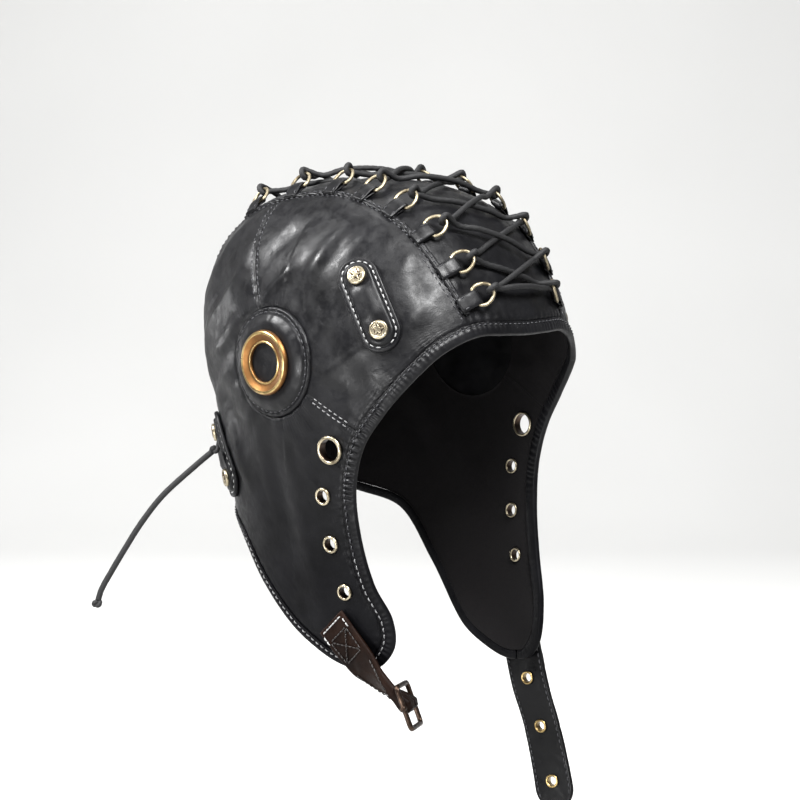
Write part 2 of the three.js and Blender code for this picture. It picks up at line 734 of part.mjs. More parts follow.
function bowPoint(frame, x, reachOut) {
  const tilt = radians(RING.tilt);
  return place(frame, x, RING.out + reachOut * Math.cos(tilt), RING.lift + reachOut * Math.sin(tilt));
}

function dRing(frame) {
  const half = RING.width / 2 - RING.wire;
  const shoulder = half * RING.shoulder;
  const deep = RING.length - 2 * RING.wire - shoulder;
  const straight = [-0.9, 0.9].map((f) => bowPoint(frame, f * half, 0));
  const bow = spread(0, 180, 4).map((turn) => {
    const [c, s] = [Math.cos(radians(turn)), Math.sin(radians(turn))];
    return bowPoint(frame, half * c, shoulder + deep * s);
  });
  return wireBody([...straight, ...bow], RING.wire, SMOOTH.wire, true);
}

function ringLoop(frame) {
  const tunnel = RING.wire + GAP;
  const outline = new THREE.Shape();
  const nose = LOOP.end - LOOP.nose;
  outline.moveTo(LOOP.root, LOOP.lift).lineTo(nose, LOOP.lift).lineTo(LOOP.end, RING.lift)
    .lineTo(nose, LOOP.height).lineTo(LOOP.root, LOOP.rootHeight);
  const hole = new THREE.Path();
  hole.moveTo(RING.out - tunnel, RING.lift - tunnel).lineTo(RING.out + tunnel, RING.lift - tunnel)
    .lineTo(RING.out + tunnel, RING.lift + tunnel).lineTo(RING.out - tunnel, RING.lift + tunnel);
  outline.holes.push(hole);
  const loop = new THREE.ExtrudeGeometry(outline, { depth: LOOP.width, bevelEnabled: false });
  // the outline's x runs towards the middle, its y outward and the extrusion along the seam
  const stand = new THREE.Matrix4().makeBasis(
    new THREE.Vector3(0, -1, 0), new THREE.Vector3(0, 0, 1), new THREE.Vector3(1, 0, 0),
  ).setPosition(-LOOP.width / 2, 0, 0);
  return solidOf(closedFrom(loop.applyMatrix4(stand).applyMatrix4(frame)));
}

function loopStrip(side) {
  const { before, after, spans, half, bottom, top } = LOOP_STRIP;
  const angles = spread(RING_ANGLES[0] - before, RING_ANGLES.at(-1) + after, spans);
  const corner = (angle, shift, lift) => skin(stripHeading(angle, side * (stripHalf(angle) + shift)), lift);
  const face = (lift) => angles.map((angle) => [-half, half].map((shift) => corner(angle, shift, lift)));
  return solidOf(wallBetween(face(top), face(bottom)));
}

// The lace comes over a ring's bow, down through the ring and back under the bow
function laceTurn(frame) {
  const wire = RING.length - 2 * RING.wire;
  const tilt = radians(RING.tilt);
  const [out, lift] = [RING.out + wire * Math.cos(tilt), RING.lift + wire * Math.sin(tilt)];
  return LACE_TURN.map((corner) => place(frame, 0, out + corner.out, lift + corner.lift));
}

function laceSpan(from, to, high) {
  return LACE.stops.map((t) => {
    const middle = 1 - (2 * t - 1) ** 2;
    const lift = mix(LACE.low, high ? LACE.high : LACE.low + LACE.rise, middle);
    return skin(heading(from.clone().lerp(to, t)), lift);
  });
}

function laceRoute() {
  const last = RING_ANGLES.length - 1;
  const order = [];
  for (let i = last; i >= 0; i--) {
    order.push({ ring: i, side: (last - i) % 2 ? 1 : -1, high: false });
  }
  const front = order.at(-1).side;
  for (let i = 0; i <= last; i++) {
    order.push({ ring: i, side: i % 2 ? front : -front, high: true });
  }
  const turns = order.map((stop) => laceTurn(ringFrame(RING_ANGLES[stop.ring], stop.side)));
  const points = laceTail(order[0].side);
  turns.forEach((turn, i) => {
    points.push(...turn);
    const next = turns[i + 1];
    if (next) points.push(...laceSpan(turn.at(-1), next[0], order[i + 1].high));
  });
  points.push(...laceTail(order.at(-1).side).reverse());
  return points;
}

function laceTail(side) {
  const { angles, from, slope } = LACE_TAIL;
  return angles.map((angle) => skin(stripHeading(angle, side * (angle - from) * slope), LACE.low));
}

// Straps

// Frame of a flat strap at a share of its run, turned about the run; its face looks along +X or -X
function strapFrame(rows, t, face) {
  const curve = new THREE.CatmullRomCurve3(rows.map((row) => new THREE.Vector3(row.x, row.y, row.z)));
  const along = curve.getTangent(t);
  const normal = new THREE.Vector3(face, 0, 0).applyAxisAngle(along, radians(alongRows(rows, "turn", t)));
  return frameAt(curve.getPoint(t), normal.addScaledVector(along, -normal.dot(along)), along);
}

function alongRows(rows, column, t) {
  const table = rows.map((row, i) => ({ place: i, value: row[column] }));
  return through(table, "place", "value", t * (rows.length - 1));
}

function strapSection(frame, half, thick) {
  const edge = thick / 4;
  const [h, t] = [half, thick / 2];
  const round = [[h, t - edge], [h - edge, t], [edge - h, t], [-h, t - edge]];
  const corners = [...round, ...round.map(([y, z]) => [-y, -z])];
  return corners.map(([y, z]) => new THREE.Vector3(0, y, z).applyMatrix4(frame));
}

function chinStrap() {
  const sections = spread(0, 1, 12).map((t) => {
    const narrow = Math.max(t - CHIN.taperFrom, 0) / (1 - CHIN.taperFrom);
    const half = CHIN.half * Math.sqrt(1 - CHIN.taper * narrow * narrow);
    return strapSection(strapFrame(CHIN_STRAP, t, 1), half, CHIN.thick);
  });
  let strap = solidOf(sectionBody(sections));
  const seats = CHIN_EYELETS.map((t) => strapFrame(CHIN_STRAP, t, 1));
  for (const seat of seats) strap = strap.subtract(drill(CHIN.hole, seat, SMOOTH.smallEyelet));
  return { geometry: geometryOf(strap), seats };
}

// The strap's end is folded round the cross pin, with a slot for the prong
function buckleStrap(pinSeat) {
  const sections = spread(0, 1, 10).map((t) =>
    strapSection(strapFrame(BUCKLE_STRAP, t, -1), BUCKLE.half, alongRows(BUCKLE_STRAP, "thick", t)));
  const tunnel = new THREE.CylinderGeometry(PIN.hole, PIN.hole, DRILL_LENGTH, SMOOTH.eyelet);
  const { size, wide, at } = PRONG_SLOT;
  const slot = new THREE.BoxGeometry(size, wide, size).translate(at, 0, 0);
  return solidOf(sectionBody(sections))
    .subtract(solidOf(closedFrom(tunnel), pinSeat))
    .subtract(solidOf(closedFrom(slot), pinSeat));
}

function buckleFrame() {
  const [long, wide, bar] = [BUCKLE.length / 2, BUCKLE.width / 2, BUCKLE.bar];
  const outline = roundedRectangle(long, wide, BUCKLE.corner);
  outline.holes.push(roundedRectangle(long - bar, wide - bar, BUCKLE.window));
  const ring = new THREE.ExtrudeGeometry(outline, { depth: bar, bevelEnabled: false, curveSegments: 2 });
  const pin = new THREE.CylinderGeometry(PIN.radius, PIN.radius, 2 * (wide + PIN.end), SMOOTH.pin);
  return solidOf(closedFrom(ring.translate(0, 0, -bar / 2))).add(solidOf(closedFrom(pin)));
}

function buckleProng() {
  const long = BUCKLE.length / 2 + PRONG.past;
  const shaft = new THREE.CylinderGeometry(PRONG.radius, PRONG.radius, long, 6).rotateZ(Math.PI / 2);
  shaft.translate(PRONG.root + long / 2, 0, BUCKLE.bar / 2 + GAP + PRONG.radius);
  const eye = turnedAcross(PIN.hole, PIN.hole + PRONG.wall, PRONG.wide);
  return solidOf(eye).add(solidOf(closedFrom(shaft)));
}

function roundedRectangle(halfX, halfY, radius) {
  const [x, y] = [halfX - radius, halfY - radius];
  const outline = new THREE.Shape();
  outline.moveTo(halfX, -y);
  outline.absarc(x, y, radius, 0, Math.PI / 2);
  outline.absarc(-x, y, radius, Math.PI / 2, Math.PI);
  outline.absarc(-x, -y, radius, Math.PI, 1.5 * Math.PI);
  outline.absarc(x, -y, radius, 1.5 * Math.PI, 2 * Math.PI);
  return outline;
}

// A short tube round the Y axis
function turnedAcross(inner, outer, width) {
  const h = width / 2;
  const profile = [[inner, -h], [outer, -h], [outer, h], [inner, h], [inner, -h]];
  const corners = profile.map(([radius, height]) => new THREE.Vector2(radius, height));
  return closedFrom(new THREE.LatheGeometry(corners, SMOOTH.eyelet));
}

// Assembly

addPiece("centre_panel", centrePanel(), "leather");
const faceStations = [...FACE_STATIONS, ...FLAP_STATIONS.slice(0, -1).toReversed()];
addPiece("face_binding", binding(FACE_CURVE, faceInset, faceInward, FACE_HEM, faceStations), "leather");
const napeInset = () => BINDING.nape;
addPiece("nape_binding", binding(NAPE_CURVE, napeInset, napeInward, NAPE_HEM, NAPE_STATIONS), "leather");

for (const [letter, side] of Object.entries(SIDES)) {
  addPiece(`front_panel_${letter}`, frontPanel(side), "leather");

  let rear = solidOf(rearPanel(side));
  FLAP_EYELETS.forEach(({ y, z, outer, hole, gap, sides }, i) => {
    const seat = seatOn(sideHeading(y, z, side), 0);
    rear = rear.subtract(drill(hole, seat, sides));
    addPiece(`flap_eyelet_${letter}${i + 1}`, eyelet(outer, hole, WALL, gap, sides), "gold", seat);
  });
  addPiece(`rear_panel_${letter}`, geometryOf(rear), "leather");

  addPiece(`ear_disc_${letter}`, earDisc(side), "leather");
  const ring = earRing(side);
  addPiece(`ear_grommet_${letter}`, ring.geometry, "brass", ring.seat);

  for (const tab of TABS) {
    addPiece(`${tab.name}_${letter}`, lozenge(tab, side), "leather");
    [tab.from, tab.to].forEach((spot, i) => {
      const seat = seatOn(sideHeading(spot.y, spot.z, side), RIVET.lift);
      addPiece(`${tab.name}_rivet_${letter}${i + 1}`, rivet(), "gold", seat);
    });
  }

  let loops = loopStrip(side);
  RING_ANGLES.forEach((angle, i) => {
    const frame = ringFrame(angle, side);
    loops = loops.add(ringLoop(frame));
    addPiece(`d_ring_${letter}${i + 1}`, dRing(frame), "gold");
  });
  addPiece(`lace_tabs_${letter}`, geometryOf(loops), "leather");
}

const lacePoints = laceRoute();
addPiece("crown_lace", wireBody(lacePoints, LACE.radius, LACE.sides), "cord");

const chin = chinStrap();
addPiece("chin_strap", chin.geometry, "leather");
chin.seats.forEach((seat, i) => {
  const shell = eyelet(CHIN.outer, CHIN.hole, 0, CHIN.thick / 2 + GAP, SMOOTH.smallEyelet);
  addPiece(`strap_eyelet_${i + 1}`, shell, "gold", seat);
});

const strapEnd = strapFrame(BUCKLE_STRAP, 1, -1);
const pinSeat = strapEnd.multiply(new THREE.Matrix4().makeTranslation(-PIN.over, 0, 0));
const buckleSeat = pinSeat.clone().multiply(new THREE.Matrix4().makeRotationY(radians(BUCKLE.tilt)));
addPiece("buckle_strap", geometryOf(buckleStrap(pinSeat)), "brown");
addPiece("buckle_frame", geometryOf(buckleFrame()), "bronze", buckleSeat);
addPiece("buckle_prong", geometryOf(buckleProng()), "bronze", buckleSeat);

// Drawcord with its stop knot and end knot
const cordPoints = CORD_ROUTE.map(({ out, down }) => new THREE.Vector3(
  CORD_START.x + CORD_HEADING.x * out, CORD_START.y + CORD_HEADING.y * out, CORD_START.z - down));
const cordCurve = new THREE.CatmullRomCurve3(cordPoints);
const cordSection = new THREE.Shape().absarc(0, 0, CORD.radius, 0, 2 * Math.PI);
const cordTube = new THREE.ExtrudeGeometry(cordSection, {
  steps: Math.round(cordCurve.getLength() / CORD.step),
  curveSegments: 4,
  extrudePath: cordCurve,
});
addPiece("drawcord", closedFrom(cordTube), "cord");
const knotShape = new THREE.SphereGeometry(CORD.knot, 8, 6);
const firstRun = cordPoints[1].clone().sub(cordPoints[0]).normalize();
const lastRun = cordPoints.at(-1).clone().sub(cordPoints.at(-2)).normalize();
const stopCentre = cordPoints[0].clone().addScaledVector(firstRun, -CORD.knot - GAP);
const endCentre = cordPoints.at(-1).clone().addScaledVector(lastRun, CORD.knot + GAP);
addPiece("drawcord_stop", closedFrom(knotShape.clone()), "cord", new THREE.Matrix4().setPosition(stopCentre));
addPiece("drawcord_knot", closedFrom(knotShape.clone()), "cord", new THREE.Matrix4().setPosition(endCentre));

export default hat;
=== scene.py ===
"""Looks of a black leather aviator hat: creased panels, puckered seams, lacing, brass and straps.

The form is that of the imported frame. Lengths are millimetres until a mesh is made, +Z is up, the
wearer looks along -Y and has +X on the left.
"""

import math

import bpy
import numpy as np
from bpy.props import FloatProperty, FloatVectorProperty, PointerProperty
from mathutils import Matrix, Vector


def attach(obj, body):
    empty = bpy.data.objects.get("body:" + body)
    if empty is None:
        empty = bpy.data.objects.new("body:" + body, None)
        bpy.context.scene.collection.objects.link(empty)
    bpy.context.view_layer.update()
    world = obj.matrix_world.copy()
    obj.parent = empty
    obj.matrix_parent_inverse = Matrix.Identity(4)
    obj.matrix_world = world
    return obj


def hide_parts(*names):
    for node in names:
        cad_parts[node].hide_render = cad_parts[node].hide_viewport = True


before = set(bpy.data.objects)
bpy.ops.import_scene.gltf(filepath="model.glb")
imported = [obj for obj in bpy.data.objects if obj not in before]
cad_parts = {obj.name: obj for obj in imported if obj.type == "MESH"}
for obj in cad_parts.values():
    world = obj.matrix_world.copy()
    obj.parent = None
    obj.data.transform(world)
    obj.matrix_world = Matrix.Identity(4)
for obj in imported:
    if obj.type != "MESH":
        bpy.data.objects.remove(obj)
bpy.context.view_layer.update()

bl_info = {
    "name": "Aviator hat",
    "version": (1, 0, 0),
    "blender": (4, 5, 0),
    "location": "3D View > Sidebar > Hat",
    "description": "Dresses the frame of a laced leather aviator hat",
    "category": "Object",
}

MM = 0.001
# The wearer's right and left
SIDES = {"r": -1, "l": 1}
UP = np.array([0.0, 0.0, 1.0])

# Thickness of the leather, and how far a fitting stands off it so that the two never meet
WALL = 2.0
GAP = 0.3
# Half the gap between two panels: below 0, because they overlap and let no light through the seam
SEAM_HALF = -0.05

# The form that a head gives the hat: half widths and height of its dome, the powers that make its plan
# and profile rounder or squarer, and how far its top leans back
SIDE, FRONT, BACK, HEIGHT = 79.0, 86.5, 100.0, 92.0
PLAN, PROFILE, LEAN = 2.5, 2.4, 14.0
WIDEST_Z = WALL - HEIGHT
TAPER = {
    "depth": [0, 30, 60, 90, 120, 165],
    "side": [1.0, 0.98, 0.945, 0.9, 0.85, 0.77],
    "front": [1.0, 1.0, 1.0, 0.99, 0.97, 0.94],
    "back": [1.0, 0.935, 0.865, 0.82, 0.78, 0.74],
}
# Broad folds in side view: middle, half length, half width, turn in degrees and height
FOLDS = {
    "y": [36, 4, -18, 44, 70, -46, -22],
    "z": [-116, -146, -176, -62, -84, -88, -40],
    "long": [34, 38, 44, 40, 42, 24, 34],
    "wide": [11, 13, 12, 13, 15, 10, 13],
    "turn": [52, 82, 84, 70, 78, 48, 12],
    "height": [-2.4, -2.0, 1.5, -1.8, 1.6, -1.5, 1.4],
}
# Half width of the strip over the crown at angles round the ear axis, 0 at the top
STRIP = {
    "angle": [-90, -78, -60, -43, -22, 0, 20, 60, 95, 130],
    "half": [31, 34, 40, 43, 43, 40, 42, 42, 39, 33],
}
CORONAL_ANGLE = 20.0
# The hems: over the brow and the nape by x, and down each side by y
FACE_FRONT = {"x": [0, 17, 34], "z": [-73, -72.6, -73]}
FACE_SIDE = {
    "y": [-83.5, -71.5, -62, -53, -47.5, -48, -53, -60.5, -60.5, -52.5, -45],
    "z": [-81.6, -98.5, -111, -125, -145, -168, -192, -213, -229, -239.5, -241.2],
}
NAPE_BACK = {"x": [0, 17, 33], "z": [-160, -161, -164]}
NAPE_SIDE = {
    "y": [57, 40, 19, -6, -23, -37.5, -45],
    "z": [-168, -176, -202, -229.5, -238.5, -242, -241.2],
}
# Hem points from the middle to the strip seams, to the flap seam and to the flap's tip
BROW_ROWS = NAPE_ROWS = 2
FLAP_SEAM_ROW = 5.7
FACE_ROWS, NAPE_LAST = 13, 9
# The left flap hangs lower and the right one higher, more and more from this height down
FLAP_DROP, DROP_FROM_Z, DROP_OVER = 8.0, -185.0, 45.0
# Bands along the hems: widths, how far they stand proud and how far in their stitches run
BAND = {"face": 6.5, "nape": 4.5, "proud": 0.6, "stitch_in": 1.5}
# Ear disc: its middle in side view, the radii of its edge, flat field and groove, and the heights of
# its field and edge
EAR = {"y": 1.5, "z": -87.0, "radius": 26.75, "flat": 17.5, "groove": 24.2, "pad": 2.6, "rim": 0.5}
# Where the seams and the outlines' corners meet the disc, in degrees from its top towards the back
DISC_SEAMS = {"coronal": 19.0, "flap": 238.0, "nape_corner": 100.0, "tip": 150.0}
# Eyelets down each flap, with the radii of their rims and holes
EYELETS = {
    "y": [-35.5, -29.5, -31.8, -37.5],
    "z": [-127, -149.8, -173, -196],
    "outer": [7, 4.4, 4.4, 4.1],
    "hole": [5.15, 2.9, 2.9, 2.7],
}

# Fittings

# How much larger in radius than an eyelet's bore its hole in the leather is cut
BARREL = 0.7
# Places of the rings along the strip seam, in degrees round the ear axis
RING_ANGLES = [-68, -56.8, -43.4, -30.3, -16.4, -2, 15, 33]
# A ring's bar stands out from its seam and off the leather, and the ring tilts up from there
RING = {"width": 12.0, "length": 11.0, "wire": 0.85, "out": 8.0, "lift": 2.1, "tilt": 17.0, "shoulder": 0.5}
# The lace's heights over the leather, and the angles at which it passes round a ring's bow
LACE = {
    "radius": 1.4, "low": 2.4, "rise": 0.3, "high": 5.0,
    "hug": 2.35, "turns": [70, 105, 140, 180, 220, 255, 290],
}
# Lozenge tabs from rivet to rivet in side view, then how far their leather reaches past the rivets
TABS = [
    {"name": "side_tab", "from": (-46, -46), "to": (-60.5, -70)},
    {"name": "rear_tab", "from": (59, -126.5), "to": (44.5, -148)},
]
TAB = {"reach": 10.5, "half": 10.0, "stitch_in": 2.45}
# Section of a tab from under its edge to its middle
TAB_PROFILE = {
    "inset": [0.5, 0.1, 0.0, 0.15, 0.5, 1.0, 1.5, 2.0, 2.4, 2.8, 3.2, 3.6, 4.1, 4.7, 5.5, 6.6, 7.8, 8.9,
              9.6],
    "height": [-0.2, 0.2, 0.8, 1.4, 1.9, 2.15, 2.1, 1.75, 1.45, 1.5, 2.0, 2.65, 3.05, 3.15, 3.05, 2.98,
               2.98, 3.0, 3.0],
}
RIVET = {"radius": 4.6, "lift": 3.45}
# Section of an ear's ring, radius and height, from its bore under the flange and over the two rolls
EAR_RING = [
    (9.35, -0.3), (15.6, -0.3), (15.95, 0.5), (15.6, 1.7), (14.9, 2.45), (14.1, 2.5), (13.4, 2.15),
    (11.6, 1.35), (10.7, 1.1), (10.3, 1.45), (9.85, 1.6), (9.45, 1.3), (9.3, 0.6),
]

# Straps: each row is x, y, z and the turn about the run; the buckle strap's rows end in a thickness
CHIN_STRAP = [
    (68.9, -33, -216, -6), (67, -38, -230, -9), (65.2, -43, -246, -10), (64, -48.5, -263, -8),
    (65.5, -54.5, -282, -6), (65.5, -60.5, -302, -10), (64.2, -67, -326, -14),
]
CHIN = {"half": 11.0, "thick": 2.2, "taper_from": 0.93, "taper": 0.75, "outer": 4.0, "hole": 2.3}
CHIN_EYELETS = [0.47, 0.69, 0.91]
BUCKLE_STRAP = [
    (-69.7, -29.7, -211.3, 0, 2.4), (-68.2, -38.8, -221, 2, 2.4), (-66.2, -47.3, -229.8, 10, 2.8),
    (-63.6, -55.8, -237.2, 36, 3.0), (-60.6, -63.9, -243.2, 59, 3.1), (-57.4, -71.2, -249.4, 66, 5.2),
]
BUCKLE = {"half": 9.6, "width": 26.0, "length": 23.0, "bar": 2.4, "tilt": -30.0}
PIN = {"end": 1.5, "over": 2.6}
# Width over which a strap's edge is rounded
STRAP_EDGE = 1.1

# The drawcord hangs back and down from where it leaves the rear tab
CORD_START = (-70.2, 51.2, -135.2)
CORD_HEADING = (-0.656, 0.755)
CORD_ROUTE = [
    (0, 0), (5, 4.1), (10.2, 8.6), (15.5, 13.2), (20.4, 17.6), (25.2, 22.3), (29.6, 27.4), (33.4, 32.4),
    (37, 37.4), (40.4, 42.6), (43.6, 47.8), (46.8, 53), (49.8, 58), (52.6, 62.8), (55.3, 67.4),
    (57.4, 71.8), (58.6, 76),
]
CORD = {"radius": 1.5, "knot": 2.6, "knot_size": 1.75, "knot_wire": 1.15}


# The form

def through(table, key, value, at):
    """Smooth curve through a table: cubic pieces whose end slopes are those between neighbours."""
    xs, ys = np.asarray(table[key], float), np.asarray(table[value], float)
    index = np.arange(len(xs))
    before, after = np.maximum(index - 1, 0), np.minimum(index + 1, len(xs) - 1)
    slopes = (ys[after] - ys[before]) / (xs[after] - xs[before])
    at = np.clip(at, xs[0], xs[-1])
    i = np.clip(np.searchsorted(xs, at) - 1, 0, len(xs) - 2)
    width = xs[i + 1] - xs[i]
    t = (at - xs[i]) / width
    rise = (3 - 2 * t) * t * t
    start = ys[i] * (1 - rise) + slopes[i] * width * t * (1 - t) ** 2
    return start + ys[i + 1] * rise - slopes[i + 1] * width * t * t * (1 - t)


def smooth(x, low, high):
    """0 below low, 1 above high, and a cubic rise between."""
    t = np.clip((np.asarray(x, float) - low) / (high - low), 0, 1)
    return t * t * (3 - 2 * t)


def unit(vectors):
    """Vectors divided by their lengths."""
    return vectors / np.maximum(np.linalg.norm(vectors, axis=-1, keepdims=True), 1e-12)


def stack(x, y, z):
    """Points from arrays of coordinates, each spread to the shape of the others."""
    return np.stack(np.broadcast_arrays(*(np.asarray(c, float) for c in (x, y, z))), -1)


def plain_point(direction):
    """Where a direction meets the form: a rounded dome, x^n + y^n in plan joined to z^m in profile,
    that leans back towards its top and narrows by the taper table below its widest ring."""
    x, y, z = np.moveaxis(np.asarray(direction, float), -1, 0)
    across = np.where(y < 0, FRONT, BACK)
    plan = (np.abs(x) / SIDE) ** PLAN + (np.abs(y) / across) ** PLAN
    rise = np.maximum(z, 0) / HEIGHT
    reach = (plan ** (PROFILE / PLAN) + rise ** PROFILE) ** (-1 / PROFILE)
    x, y, z = x * reach, y * reach, z * reach
    depth = np.maximum(-z, 0)
    front, back = (through(TAPER, "depth", end, depth) for end in ("front", "back"))
    lean = LEAN * (1 - np.clip(z / HEIGHT, 0, 1)) ** 2
    narrow = through(TAPER, "depth", "side", depth)
    return stack(x * narrow, y * np.where(y < 0, front, back) - lean, z + WIDEST_Z)


def outward(direction):
    """Normal of the form: the cross product of the steps to either side of a direction."""
    d = unit(np.asarray(direction, float))
    hint = np.where(np.abs(d[..., 2:3]) < 0.9, UP, np.array([0.0, 1.0, 0.0]))
    first = unit(np.cross(hint, d)) * 1e-3
    second = np.cross(d, first)
    along, across = (plain_point(d + s) - plain_point(d - s) for s in (first, second))
    return unit(np.cross(along, across))


def fold_height(y, z):
    """Sum of the broad folds, each a long bell turned in side view."""
    height = np.zeros_like(y)
    for i in range(len(FOLDS["y"])):
        row = {key: values[i] for key, values in FOLDS.items()}
        c, s = math.cos(math.radians(row["turn"])), math.sin(math.radians(row["turn"]))
        along = ((y - row["y"]) * c + (z - row["z"]) * s) / row["long"]
        across = ((z - row["z"]) * c - (y - row["y"]) * s) / row["wide"]
        height = height + row["height"] * np.exp(-2 * (along ** 2 + across ** 2))
    return height


def skin(direction, lift=0.0):
    """Point of the leather in a direction, raised along the normal by lift and the broad folds."""
    point = plain_point(direction)
    raised = np.asarray(lift, float) + fold_height(point[..., 1], point[..., 2])
    return point + outward(direction) * raised[..., None]


def heading(point):
    """Direction of any point near the leather: the lean and the taper taken off again."""
    x, y, z = np.moveaxis(np.asarray(point, float), -1, 0)
    height = z - WIDEST_Z
    depth = np.maximum(-height, 0)
    y = y + LEAN * (1 - np.clip(height / HEIGHT, 0, 1)) ** 2
    front, back = (through(TAPER, "depth", end, depth) for end in ("front", "back"))
    return stack(x / through(TAPER, "depth", "side", depth), y / np.where(y < 0, front, back), height)


def level_ring(height):
    """What the dome's formula leaves for the plan at a height: 1 - z^m, to the power n/m."""
    rise = np.maximum(height / HEIGHT, 0)
    return np.maximum(1 - rise ** PROFILE, 0) ** (PLAN / PROFILE)


def side_heading(y, z, side):
    """Direction of the form's point at y and z in side view."""
    flat = heading(stack(0.0, y, z))
    across = np.where(flat[..., 1] < 0, FRONT, BACK)
    left = level_ring(flat[..., 2]) - (np.abs(flat[..., 1]) / across) ** PLAN
    flat[..., 0] = side * SIDE * np.maximum(left, 1e-6) ** (1 / PLAN)
    return flat


def end_heading(x, z, end):
    """Direction of the form's point at x and z on its front or its back."""
    flat = heading(stack(x, 0.0, z))
    left = level_ring(flat[..., 2]) - (np.abs(flat[..., 0]) / SIDE) ** PLAN
    flat[..., 1] = end * (FRONT if end < 0 else BACK) * left ** (1 / PLAN)
    return flat


def strip_heading(angle, x):
    """Direction at an angle round the ear axis, 0 at the top and negative towards the brow, and at a
    distance x from the middle plane, found by repeated correction."""
    angle, x = np.broadcast_arrays(np.radians(angle), np.asarray(x, float))
    s, c = np.sin(angle), np.cos(angle)
    slope = np.zeros_like(s)
    for _ in range(16):
        bare = stack(slope, s, c)
        across = np.where(s < 0, FRONT, BACK)
        plan = (np.abs(bare[..., 0]) / SIDE) ** PLAN + (np.abs(s) / across) ** PLAN
        length = (plan ** (PROFILE / PLAN) + (np.maximum(c, 0) / HEIGHT) ** PROFILE) ** (-1 / PROFILE)
        slope = x / (length * through(TAPER, "depth", "side", np.maximum(-length * c, 0)))
    return stack(slope, s, c)


def strip_half(angle):
    """Half width of the strip over the crown, on a smooth curve through its table."""
    return through(STRIP, "angle", "half", angle)


# Edge lines

def curve_point(points, place):
    """Centripetal curve through points at places from 0 to 1 shared equally between them."""
    last = len(points) - 1
    ends = [2 * points[0] - points[1], *points, 2 * points[-1] - points[-2]]
    padded = np.array(ends)
    at = np.clip(np.asarray(place, float), 0, 1) * last
    i = np.clip(np.floor(at).astype(int), 0, last - 1)
    w = (at - i)[..., None]
    p0, p1, p2, p3 = (padded[i + k] for k in range(4))
    d0, d1, d2 = (np.sqrt(np.linalg.norm(b - a, axis=-1, keepdims=True))
                  for a, b in ((p0, p1), (p1, p2), (p2, p3)))
    start = ((p1 - p0) / d0 - (p2 - p0) / (d0 + d1) + (p2 - p1) / d1) * d1
    stop = ((p2 - p1) / d1 - (p3 - p1) / (d1 + d2) + (p3 - p2) / d2) * d1
    c2 = 3 * (p2 - p1) - 2 * start - stop
    c3 = 2 * (p1 - p2) + start + stop
    return p1 + w * (start + w * (c2 + w * c3))


def curve_tangent(points, place):
    """Direction of the curve: the step from just before a place to just after it."""
    step = 1e-4
    return unit(curve_point(points, np.minimum(place + step, 1))
                - curve_point(points, np.maximum(place - step, 0)))


def dropped(z, side):
    """Height of a hem point: the same on both sides above the drop's start, and lower on the left and
    higher on the right by a smooth step below it."""
    return z - side * FLAP_DROP * smooth(DROP_FROM_Z - z, 0, DROP_OVER)


def hem_half(ends, sides, side, end):
    """Points of one half of a hem on the form, from the middle plane to the flap's tip."""
    over = skin(end_heading(side * np.array(ends["x"], float), np.array(ends["z"], float), end))
    z = np.array(sides["z"], float)
    return np.concatenate([over, skin(side_heading(np.array(sides["y"], float), dropped(z, side), side))])


def whole_hem(ends, sides, end):
    """Points of a hem from the right tip over the middle plane to the left tip."""
    right, left = (hem_half(ends, sides, side, end) for side in (-1, 1))
    return np.concatenate([right[:0:-1], left])


FACE_CURVE = whole_hem(FACE_FRONT, FACE_SIDE, -1)
NAPE_CURVE = whole_hem(NAPE_BACK, NAPE_SIDE, 1)
HEMS = {
    "face": {"curve": FACE_CURVE, "rows": FACE_ROWS, "inward": -1},
    "nape": {"curve": NAPE_CURVE, "rows": NAPE_LAST, "inward": 1},
}


def band_width(hem, place):
    """The face band narrows to the nape band's width at the flap tips."""
    if hem == "nape":
        return np.full_like(np.asarray(place, float), BAND["nape"])
    from_tip = np.minimum(place, 1 - np.asarray(place, float)) * 2 * FACE_ROWS
    return BAND["nape"] + (BAND["face"] - BAND["nape"]) * smooth(from_tip, 0, 2)


def inset_heading(hem, place, distance):
    """Direction of the point a distance in from the hem, square to its run."""
    row = HEMS[hem]
    point = curve_point(row["curve"], place)
    inward = unit(np.cross(curve_tangent(row["curve"], place), outward(heading(point)))) * row["inward"]
    return heading(point + inward * np.asarray(distance, float)[..., None])


def hem_edge(hem, place, extra=0.0):
    """Direction of the band's inner edge, where the panel's leather starts."""
    place = np.asarray(place, float)
    return inset_heading(hem, place, band_width(hem, place) + extra)


def row_place(hem, row, side):
    """Place from 0 to 1 on the whole hem of a count of hem points from its middle."""
    return 0.5 + side * np.asarray(row, float) / (2 * HEMS[hem]["rows"])


def angle_of(direction):
    """Angle round the ear axis, from the top towards the back."""
    return np.degrees(np.arctan2(direction[..., 1], direction[..., 2]))


BROW_ANGLE = float(angle_of(hem_edge("face", row_place("face", BROW_ROWS, 1), 0.25)))
NAPE_ANGLE = float(angle_of(hem_edge("nape", row_place("nape", NAPE_ROWS, 1), 0.25)))


def disc_heading(angle, radius, side):
    """Direction of a point in side view on a circle round the ear."""
    turn = np.radians(angle)
    return side_heading(EAR["y"] + radius * np.sin(turn), EAR["z"] + radius * np.cos(turn), side)


def run_length(points):
    """Length along a line of points, from its first point."""
    steps = np.linalg.norm(np.diff(points, axis=0), axis=-1)
    return np.concatenate([[0.0], np.cumsum(steps)])


def resampled(points, pitch):
    """The same line with its points a pitch apart."""
    run = run_length(points)
    at = np.linspace(0, run[-1], max(int(round(run[-1] / pitch)), 1) + 1)
    return np.stack([np.interp(at, run, points[:, k]) for k in range(3)], -1)


def chart_line(first, last, t):
    """Straight line between two directions in the chart direction over |x|."""
    a, b = (d / np.abs(d[..., :1]) for d in (first, last))
    return a + (b - a) * np.asarray(t, float)[..., None]


